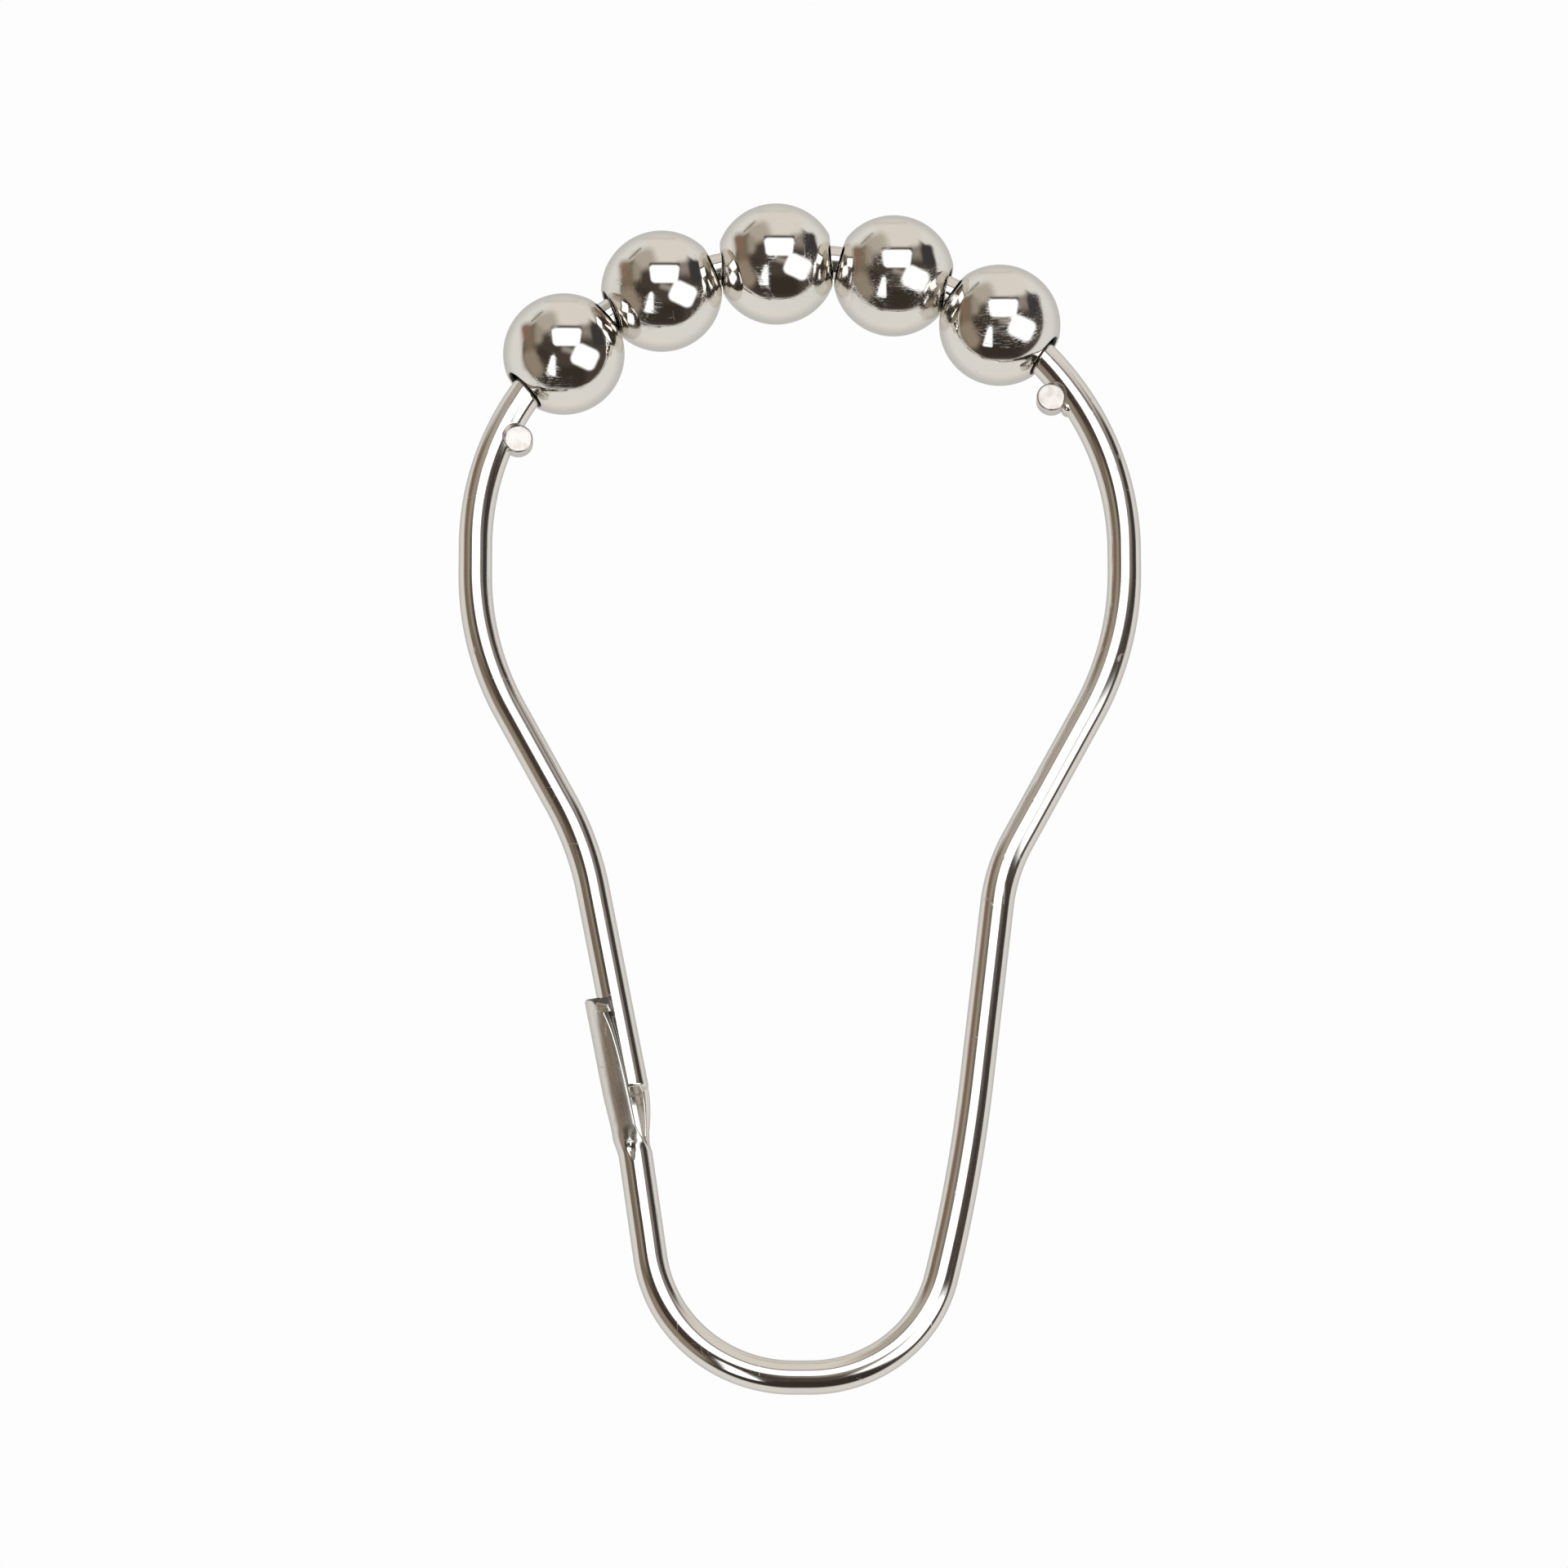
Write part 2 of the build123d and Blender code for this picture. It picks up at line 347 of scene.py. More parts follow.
@dataclass
class Keeper:
    """The half-pipe that is pressed from the wire's far end and holds its plain end."""

    line: WireLine
    wire_radius: float = 1.1 * MM
    inner_radius: float = 1.17 * MM
    wall: float = 0.75 * MM
    foot_thinning: float = 0.1 * MM
    lip_thinning: float = 0.26 * MM
    lip_fade: float = 1.5                              # how late that loss ends, going up
    front_lip: tuple[float, float] = (76.0, 54.0)      # degrees, at the foot and the mouth
    front_lean: float = 2.44                           # how late the lip leans back, going up
    rear_lip: tuple[float, float] = (108.0, 124.0)
    thin_from: float = 15.0                            # degrees from the outer side
    bulge: float = 0.3                                 # of a lip's edge, to half the wall
    lip_form: tuple[float, float] = (0.6, 0.8)         # powers that square a lip's edge
    ear_turn: float = 17.0
    ear_height: float = 0.7 * MM
    ear_step: float = 0.2 * MM
    seam: float = 33.0                                 # degrees that the lips share while closed
    seam_turn: float = 3.0                             # and how far back they meet
    rear_run: float = 0.85                             # share of the run-out that opens the rear
    crown: float = 2.15 * MM
    mouth_reach: float = 3.2 * MM
    mouth_ease: int = 8                                # how late the barrel makes room for the rim
    rounding: float = 0.13 * MM
    notch_angle: float = -46.0
    notch_width: float = 3.0
    notch_depth: float = 0.2 * MM
    crease_angle: float = -74.0
    crease_share: float = 0.17
    crease_lift: float = 0.1 * MM
    crease_depth: float = 0.17 * MM
    crease_size: tuple[float, float] = (0.42 * MM, 0.17 * MM)
    run_count: int = 24
    barrel_count: int = 70

    @property
    def height(self) -> float:
        """Height of the mouth over the keeper's foot."""
        return self.line.clasp_floor + self.line.clasp_lap

    def round_angles(self) -> np.ndarray:
        """Spread the open section's points over the round wire.

        Returns:
            The angle on the round wire of each point, in degrees.
        """
        opening = (self.rear_lip[0] - self.front_lip[0]) / 2 + 180 + self.seam_turn
        marks = [opening + self.seam - 360, opening - self.seam]
        marks += [opening - self.seam / 2, opening + self.seam / 2, opening + self.seam]
        return np.concatenate(
            [
                np.linspace(marks[0], marks[1], WALL),
                np.linspace(marks[1], marks[2], LIP + 2)[1:-1],
                np.linspace(marks[2], marks[3], WALL),
                np.linspace(marks[3], marks[4], LIP + 2)[1:-1],
            ]
        )

    def open_shape(self, outer: float, thinning: float, front: float, rear: float) -> np.ndarray:
        """Draw the half-pipe's section.

        Args:
            outer: Radius of its outside.
            thinning: How much of the wall is lost towards the front lip.
            front: Angle of the front lip from the outer side.
            rear: Angle of the rear lip.

        Returns:
            The section's points: outside, rear lip, inside and front lip.
        """
        sweep = np.linspace(-front, rear, WALL)
        reach = outer - thinning * smooth((-sweep - self.thin_from) / (front - self.thin_from))
        turn = np.pi * np.arange(1, LIP + 1) / (LIP + 1)
        square, full = self.lip_form
        across = np.sign(np.cos(turn)) * np.abs(np.cos(turn)) ** square
        lips = []
        for edge, lip, way in ((rear, outer, 1), (-front, outer - thinning, -1)):
            middle, half = (lip + self.inner_radius) / 2, (lip - self.inner_radius) / 2
            bulge = math.degrees(self.bulge * half / middle) * np.sin(turn) ** full
            angles = np.radians(edge + way * bulge)
            radii = middle + way * half * across
            lips.append(np.column_stack([radii * np.cos(angles), radii * np.sin(angles)]))
        outside = reach[:, None] * on_circle(1.0, sweep)
        return np.concatenate(
            [outside, lips[0], on_circle(self.inner_radius, sweep[::-1]), lips[1]]
        )

    def shape_at(self, height: float) -> np.ndarray:
        """Draw the half-pipe's section at one height.

        Args:
            height: Height over the keeper's foot.

        Returns:
            The section's points.
        """
        share, throat = height / self.height, self.line.clasp_floor
        foot, mouth = self.front_lip
        ear = float(smooth((height - self.height + self.ear_height) / self.ear_step))
        front = foot - (foot - mouth) * share**self.front_lean + self.ear_turn * ear
        low, high = self.rear_lip
        rear = high - (high - low) * (1 - min(height / throat, 1.0)) ** 2
        outer = self.inner_radius + self.wall - self.foot_thinning * (1 - smooth(height / throat))
        thinning = self.lip_thinning * (1 - share**self.lip_fade)
        return self.open_shape(outer, thinning, front, rear)

    def run_out(self) -> list[np.ndarray]:
        """Open the round wire into the half-pipe.

        Returns:
            The rings from just above the round wire to the keeper's foot.
        """
        line = self.line
        base_way = line.heading(line.length)
        foot_way = (line.plain_end - line.keeper_foot) / line.clasp_floor
        span = float(np.hypot(*(line.keeper_foot - line.clasp_base)))
        closed = on_circle(self.wire_radius, self.round_angles())
        opened = self.shape_at(0.0)
        front_share = np.concatenate(
            [
                np.linspace(1, 0, WALL),
                np.zeros(LIP),
                np.linspace(0, 1, WALL),
                np.ones(LIP),
            ]
        )
        rings = []
        for share in np.linspace(0, 1, self.run_count + 1)[1:]:
            before, after = 1 - share, share
            centre = (
                (1 + 2 * share) * before**2 * line.clasp_base
                + share * before**2 * span * base_way
                + share**2 * (3 - 2 * share) * line.keeper_foot
                + share**2 * (share - 1) * span * foot_way
            )
            way = before * base_way + after * foot_way
            rear_opening = (1 - front_share) * smooth(share / self.rear_run)
            opening = front_share * smooth(share) + rear_opening
            shape = closed + (opened - closed) * opening[:, None]
            rings.append(Section(shape, centre, way / np.hypot(*way)).placed())
        return [self.creased(ring) for ring in rings]

    def creased(self, points: np.ndarray) -> np.ndarray:
        """Press the fold where the front lip runs out into the round wire.

        Args:
            points: The x, y and z of a ring of points near the foot.

        Returns:
            The points after pressing.
        """
        line = self.line
        way = line.heading(line.length)
        middle = line.clasp_base + self.crease_share * (line.keeper_foot - line.clasp_base)
        turn = math.radians(self.crease_angle)
        reach = (self.wire_radius + self.crease_lift) * math.cos(turn)
        outward = np.array([-way[1], way[0]])
        flat = middle + reach * outward
        place = np.array([flat[0], self.wire_radius * math.sin(turn), flat[1]])
        along = (points - place) @ np.array([way[0], 0.0, way[1]])
        gap = np.sqrt(np.maximum(((points - place) ** 2).sum(axis=1) - along**2, 0))
        long, wide = self.crease_size
        press = self.crease_depth * np.exp(-((along / long) ** 2) - (gap / wide) ** 2)
        moved = points.copy()
        moved[:, 1] += press
        return moved

    def barrel(self) -> list[np.ndarray]:
        """Run the half-pipe up from its foot to its rounded mouth.

        Returns:
            The rings from just above the foot to the flat of the rim.
        """
        line = self.line
        way = (line.plain_end - line.keeper_foot) / line.clasp_floor
        rings = []
        for share in np.linspace(0, 1, self.barrel_count + 1)[1:]:
            height = share * self.height
            shape = self.shape_at(height)
            fade = float(smooth((height - self.height + self.mouth_reach) / self.mouth_reach))
            lift = self._mouth_drop(shape) * fade - self.rounding * share**self.mouth_ease
            rings.append(Section(shape, line.keeper_foot + height * way, way).placed(lift))
        rim = self.shape_at(self.height)
        ahead = np.roll(rim, -1, axis=0) - np.roll(rim, 1, axis=0)
        inward = np.column_stack([-ahead[:, 1], ahead[:, 0]])
        inward /= np.hypot(*inward.T)[:, None]
        for turn in np.radians(np.linspace(0, 90, RIM_RINGS + 1)[1:]):
            shape = rim + inward * self.rounding * (1 - math.cos(turn))
            lift = self._mouth_drop(shape) - self.rounding * (1 - math.sin(turn))
            centre = line.keeper_foot + self.height * way
            rings.append(Section(shape, centre, way).placed(lift))
        return rings

    def _mouth_drop(self, shape: np.ndarray) -> np.ndarray:
        """Round off the mouth, seen from its outer side, and notch its front edge.

        Args:
            shape: The section's points.

        Returns:
            How far each point is moved along the keeper, never above 0.
        """
        reach = 0.95 * self.crown
        back = np.clip(shape[:, 1], -reach, reach)
        angle = np.degrees(np.arctan2(shape[:, 1], shape[:, 0]))
        off = (angle - self.notch_angle) / self.notch_width
        notch = self.notch_depth * np.exp(-(off**2))
        return np.sqrt(self.crown**2 - back**2) - self.crown - notch


@dataclass
class Stop:
    """A stop coined from the wire: a disc on its inner side, and two flats punched over it."""

    side: Side
    line: WireLine
    inset: float
    play: float
    radius: float = 0.98 * MM
    half_thickness: float = 0.55 * MM
    rounding: float = 0.15 * MM
    wall: float = 0.2 * MM                             # width of the punched wall
    squeezed: float = 0.65 * MM                        # its height
    proud: float = 0.004 * MM                          # how far the disc stands over the flats
    burr: tuple[float, float] | None = None            # place of the burr from the disc's middle
    burr_radius: float = 0.42 * MM
    burr_half: float = 0.74 * MM
    burr_rounding: float = 0.34 * MM

    def __post_init__(self) -> None:
        """Place the disc beyond the last ball."""
        line = self.line
        radius, centre = line.shoulders[self.side]
        row = line.row_left if self.side is Side.LEFT else line.row_right
        turn = math.radians(row) + (line.ball_radius + self.play + self.radius) / radius
        reach = radius - self.inset
        offset = np.array([self.side.value * reach * math.sin(turn), reach * math.cos(turn)])
        self.centre = centre + offset
        self.distance = line.nearest(self.centre)

    def press(self, points: np.ndarray) -> np.ndarray:
        """Flatten the wire under the punches.

        Args:
            points: The x, y and z of a ring of the wire's points.

        Returns:
            The points after punching, with the metal that was squeezed aside.
        """
        across = np.hypot(points[:, 0] - self.centre[0], points[:, 2] - self.centre[1])
        share = (across - self.radius + self.rounding) / self.wall
        if share.min() > 1:
            return points
        limit = self.half_thickness + self.squeezed * smooth(share)
        limit = np.where(share > 1, np.inf, limit)
        moved = points.copy()
        moved[:, 1] = np.sign(points[:, 1]) * np.minimum(np.abs(points[:, 1]), limit)
        return moved

    def build(self, mesh: bmesh.types.BMesh) -> None:
        """Add the disc, and the burr that the punch left beside it.

        Args:
            mesh: The ring's mesh.
        """
        half = self.half_thickness + self.proud
        turned_disc(mesh, self.centre, self.radius, half, self.rounding)
        if self.burr:
            place = self.centre + np.array(self.burr)
            turned_disc(mesh, place, self.burr_radius, self.burr_half, self.burr_rounding)


def turned_disc(
    mesh: bmesh.types.BMesh, centre: np.ndarray, radius: float, half: float, rounding: float
) -> None:
    """Turn a disc with rounded edges about an axis along Y.

    Args:
        mesh: The mesh that it joins.
        centre: The x and z of its middle.
        radius: Its radius.
        half: Half its thickness.
        rounding: Radius of its edges.
    """
    flat = radius - rounding
    on_face, on_edge = DISC_STEPS
    shares = [k / on_face for k in range(1, on_face)]
    profile = [(flat * share, half + DISC_DOME * (1 - share**2)) for share in shares]
    for turn in np.radians(np.linspace(0, 90, on_edge)):
        reach = flat + rounding * math.sin(turn)
        profile.append((reach, half - rounding * (1 - math.cos(turn))))
    profile += [(reach, -height) for reach, height in reversed(profile)]
    x, z = centre
    turns = [math.tau * step / DISC_TURNS for step in range(DISC_TURNS)]
    rings = [
        [mesh.verts.new((x + reach * math.cos(t), height, z + reach * math.sin(t))) for t in turns]
        for reach, height in profile
    ]
    bridged(mesh, rings)
    for ring, side in ((rings[0], 1), (rings[-1], -1)):
        fanned(mesh, ring, (x, side * (half + DISC_DOME), z))


def bridged(
    mesh: bmesh.types.BMesh, rings: list[list[bmesh.types.BMVert]]
) -> list[bmesh.types.BMFace]:
    """Join neighbouring closed rings of points with faces.

    Args:
        mesh: The mesh that holds the points.
        rings: Rings with the same number of points.

    Returns:
        The new faces.
    """
    faces = []
    for ring, following in zip(rings, rings[1:]):
        count = len(ring)
        for k in range(count):
            j = (k + 1) % count
            faces.append(mesh.faces.new((ring[k], ring[j], following[j], following[k])))
    return faces


def fanned(
    mesh: bmesh.types.BMesh, ring: list[bmesh.types.BMVert], tip: tuple[float, float, float]
) -> None:
    """Close a ring of points with a fan of faces round a middle point.

    Args:
        mesh: The mesh that holds the points.
        ring: The closed ring.
        tip: The middle point.
    """
    middle = mesh.verts.new(tip)
    for k, point in enumerate(ring):
        mesh.faces.new((point, ring[(k + 1) % len(ring)], middle))


def finished_object(mesh: bmesh.types.BMesh, name: str) -> bpy.types.Object:
    """Turn a finished mesh into an object of the scene.

    Args:
        mesh: The mesh, which is freed.
        name: The piece's name.

    Returns:
        The new object.
    """
    bmesh.ops.recalc_face_normals(mesh, faces=mesh.faces)
    data = bpy.data.meshes.new(name)
    mesh.to_mesh(data)
    mesh.free()
    data.shade_smooth()
    piece = bpy.data.objects.new(name, data)
    bpy.context.scene.collection.objects.link(piece)
    return piece


# Nodes, shared effects and finishes


class Nodes:
    """A short way to add nodes to one node tree and to join them."""

    def __init__(self, tree: bpy.types.NodeTree) -> None:
        """Keep the tree that the nodes go into."""
        self.tree = tree

    def add(self, kind: str, **settings: object) -> bpy.types.Node:
        """Add a node and set its options.

        Args:
            kind: Blender's name of the node type.
            settings: Options of the node by name.

        Returns:
            The node.
        """
        node = self.tree.nodes.new(kind)
        for name, value in settings.items():
            setattr(node, name, value)
        return node

    def feed(self, value: object, socket: Socket) -> None:
        """Join an output to a socket, or set the socket if the value is plain.

        Args:
            value: An output, or a number, vector or colour.
            socket: The input that takes it.
        """
        if isinstance(value, Socket):
            self.tree.links.new(value, socket)
        else:
            socket.default_value = value

    def maths(self, operation: str, *values: object, clamp: bool = False) -> Socket:
        """Work out one step of arithmetic.

        Args:
            operation: Blender's name of the operation.
            values: Numbers or outputs that it takes.
            clamp: Whether the result is kept from 0 to 1.

        Returns:
            The result's output.
        """
        node = self.add("ShaderNodeMath", operation=operation, use_clamp=clamp)
        for value, socket in zip(values, node.inputs):
            self.feed(value, socket)
        return node.outputs[0]

    def dot(self, vector: Socket, axis: tuple[float, float, float]) -> Socket:
        """Measure a vector along a fixed axis.

        Args:
            vector: The vector's output.
            axis: The axis, of length 1.

        Returns:
            The length along the axis.
        """
        node = self.add("ShaderNodeVectorMath", operation="DOT_PRODUCT")
        self.feed(vector, node.inputs[0])
        self.feed(axis, node.inputs[1])
        return node.outputs["Value"]

    def ramp(self, value: object, low: object, high: object) -> Socket:
        """Ease from 0 to 1 as a value grows.

        Args:
            value: The value.
            low: Where the result leaves 0.
            high: Where it reaches 1.

        Returns:
            The result's output.
        """
        node = self.add("ShaderNodeMapRange", interpolation_type="SMOOTHSTEP")
        for item, name in ((value, "Value"), (low, "From Min"), (high, "From Max")):
            self.feed(item, node.inputs[name])
        return node.outputs["Result"]

    def noise(self, place: Socket, scale: object, detail: float = 2.0) -> bpy.types.Node:
        """Add a noise texture.

        Args:
            place: Where on the surface, as a vector's output.
            scale: Its scale, as a number or an output.
            detail: How many finer layers it has.

        Returns:
            The texture's node.
        """
        node = self.add("ShaderNodeTexNoise")
        for value, name in ((place, "Vector"), (scale, "Scale"), (detail, "Detail")):
            self.feed(value, node.inputs[name])
        return node

    def blend(self, share: object, below: object, above: object) -> Socket:
        """Mix two colours.

        Args:
            share: Share of the second colour.
            below: The first colour, of three numbers or an output.
            above: The second colour.

        Returns:
            The mixed colour's output.
        """
        node = self.add("ShaderNodeMix", data_type="RGBA")
        self.feed(share, node.inputs[0])
        for value, socket in zip((below, above), node.inputs[6:8]):    # its two colour sockets
            self.feed((*value, 1.0) if isinstance(value, tuple) else value, socket)
        return node.outputs[2]                                         # and its colour output


def new_group(
    name: str, inputs: dict[str, float], outputs: list[str]
) -> tuple[Nodes, bpy.types.Node, bpy.types.Node]:
    """Start a shader node group with named sockets.

    Args:
        name: Name of the group.
        inputs: Default value of each input, by name.
        outputs: Names of the outputs.

    Returns:
        A helper for its nodes, the group's input node and its output node.
    """
    tree = bpy.data.node_groups.new(name, "ShaderNodeTree")
    for label, value in inputs.items():
        socket = tree.interface.new_socket(label, in_out="INPUT", socket_type="NodeSocketFloat")
        socket.default_value = value
    for label in outputs:
        tree.interface.new_socket(label, in_out="OUTPUT", socket_type="NodeSocketFloat")
    nodes = Nodes(tree)
    return nodes, nodes.add("NodeGroupInput"), nodes.add("NodeGroupOutput")


class SurfaceEffects:
    """The surface effects that the finishes share, each a node group that is built once."""

    def __init__(self) -> None:
        """Build the groups."""
        self.draw_lines = self._draw_lines()
        self.hairlines = self._hairlines()
        self.cloud = self._cloud()
        self.pressed_metal_and_shade = self._pressed_metal_and_shade()
        self.streaks = self._streaks()

    @staticmethod
    def _draw_lines() -> bpy.types.NodeTree:
        """Fine lines that the drawing die leaves along the wire.

        Returns:
            The node group.
        """
        nodes, given, made = new_group(
            "Draw Lines", {"Lines Around": 13000.0, "Lines Along": 70.0}, ["Height", "Shade"]
        )
        place = nodes.add("ShaderNodeUVMap", uv_map="WireMap")
        split = nodes.add("ShaderNodeSeparateXYZ")
        nodes.feed(place.outputs[0], split.inputs[0])
        join = nodes.add("ShaderNodeCombineXYZ")
        for number, label in enumerate(("Lines Along", "Lines Around")):
            scaled = nodes.maths("MULTIPLY", split.outputs[number], given.outputs[label])
            nodes.feed(scaled, join.inputs[number])
        fine = nodes.noise(join.outputs[0], scale=1.0, detail=3.0).outputs["Fac"]
        coarse = nodes.noise(join.outputs[0], scale=0.31, detail=1.0).outputs["Fac"]
        height = nodes.maths("MULTIPLY", fine, nodes.ramp(coarse, low=0.35, high=0.7))
        nodes.feed(height, made.inputs["Height"])
        nodes.feed(nodes.ramp(fine, low=0.45, high=0.72), made.inputs["Shade"])
        return nodes.tree

    @staticmethod
    def _hairlines() -> bpy.types.NodeTree:
        """Sparse thin curved scratches, in two layers that run different ways.

        Returns:
            The node group.
        """
        nodes, given, made = new_group(
            "Hairline Scratches", {"Scale": 260.0, "Width": 0.012, "Spread": 0.56}, ["Mask"]
        )
        place = nodes.add("ShaderNodeTexCoord").outputs["Object"]
        patch_fade = 0.06
        masks = []
        for stretch, shift in (((1.0, 0.35, 0.22), 0.0), ((0.25, 0.5, 1.0), 7.3)):
            turned = nodes.add("ShaderNodeMapping")
            nodes.feed(place, turned.inputs["Vector"])
            turned.inputs["Scale"].default_value = stretch
            turned.inputs["Location"].default_value = (shift, shift / 2, 0.0)
            turned.inputs["Rotation"].default_value = (0.4 + shift, 0.7, 0.2 * shift)
            bend = nodes.noise(turned.outputs[0], scale=180.0)
            warped = nodes.add("ShaderNodeVectorMath", operation="MULTIPLY_ADD")
            nodes.feed(bend.outputs["Color"], warped.inputs[0])
            nodes.feed((SCRATCH_BEND,) * 3, warped.inputs[1])
            nodes.feed(turned.outputs[0], warped.inputs[2])
            cells = nodes.add("ShaderNodeTexVoronoi", feature="DISTANCE_TO_EDGE")
            nodes.feed(warped.outputs[0], cells.inputs["Vector"])
            nodes.feed(given.outputs["Scale"], cells.inputs["Scale"])
            away = nodes.ramp(cells.outputs["Distance"], low=0.0, high=given.outputs["Width"])
            edge = nodes.maths("SUBTRACT", 1.0, away)
            patch = nodes.noise(place, scale=420.0 + 40 * shift).outputs["Fac"]
            low = given.outputs["Spread"]
            kept = nodes.ramp(patch, low, nodes.maths("ADD", low, patch_fade))
            masks.append(nodes.maths("MULTIPLY", edge, kept))
        nodes.feed(nodes.maths("MAXIMUM", *masks), made.inputs["Mask"])
        return nodes.tree

    @staticmethod
    def _cloud() -> bpy.types.NodeTree:
        """The slow change of tone over a plated surface, and its faint waviness.

        Returns:
            The node group.
        """
        nodes, given, made = new_group(
            "Plating Cloud", {"Scale": 240.0, "Ripple Scale": 900.0}, ["Tone", "Ripple"]
        )
        place = nodes.add("ShaderNodeTexCoord").outputs["Object"]
        for scale, detail, label in (("Scale", 4.0, "Tone"), ("Ripple Scale", 1.5, "Ripple")):
            noise = nodes.noise(place, given.outputs[scale], detail).outputs["Fac"]
            nodes.feed(nodes.ramp(noise, low=0.3, high=0.7), made.inputs[label])
        return nodes.tree

    @staticmethod
    def _streaks() -> bpy.types.NodeTree:
        """Patches of fine parallel streaks that polishing leaves.

        Returns:
            The node group.
        """
        nodes, given, made = new_group(
            "Polishing Streaks", {"Length": 0.8, "Pitch": 14.0, "Spread": 0.47}, ["Mask"]
        )
        place = nodes.add("ShaderNodeTexCoord").outputs["Object"]
        size = nodes.add("ShaderNodeCombineXYZ")
        for label, socket in zip(("Length", "Pitch", "Pitch"), size.inputs):
            nodes.feed(given.outputs[label], socket)
        scaled = nodes.add("ShaderNodeVectorMath", operation="MULTIPLY")
        nodes.feed(place, scaled.inputs[0])
        nodes.feed(size.outputs[0], scaled.inputs[1])
        lines = nodes.noise(scaled.outputs[0], scale=1000.0).outputs["Fac"]
        patch = nodes.noise(place, scale=330.0).outputs["Fac"]
        low, patch_fade = given.outputs["Spread"], 0.12
        kept = nodes.ramp(patch, low, nodes.maths("ADD", low, patch_fade))
        ridges = nodes.ramp(lines, low=0.42, high=0.66)
        nodes.feed(nodes.maths("MULTIPLY", ridges, kept), made.inputs["Mask"])
        return nodes.tree

    @staticmethod
    def _pressed_metal_and_shade() -> bpy.types.NodeTree:
        """Metal that a tool has pressed or dulled, and the painted shade, as the pieces' marks say.

        Returns:
            The node group.
        """
        nodes, given, made = new_group(
            "Pressed Metal And Shade",
            {"Scale": 1500.0, "Reach": 0.55},
            ["Area", "Mask", "Height", "Dull", "Painted Shade"],
        )
        marks = {}
        for name, label in (("pressed", "Area"), ("dull", "Dull"), ("painted_shade", "Painted Shade")):
            mark = nodes.add("ShaderNodeAttribute", attribute_name=name)
            marks[name] = mark.outputs["Fac"]
            nodes.feed(marks[name], made.inputs[label])
        place = nodes.add("ShaderNodeTexCoord").outputs["Object"]
        grain = nodes.noise(place, given.outputs["Scale"], detail=5.0).outputs["Fac"]
        whole = nodes.maths("SUBTRACT", given.outputs["Reach"], 0.2)
        broken = nodes.ramp(grain, low=whole, high=0.75)
        mask = nodes.maths("MULTIPLY", marks["pressed"], broken, clamp=True)
        nodes.feed(mask, made.inputs["Mask"])
        nodes.feed(nodes.maths("MULTIPLY", marks["pressed"], grain), made.inputs["Height"])
        return nodes.tree


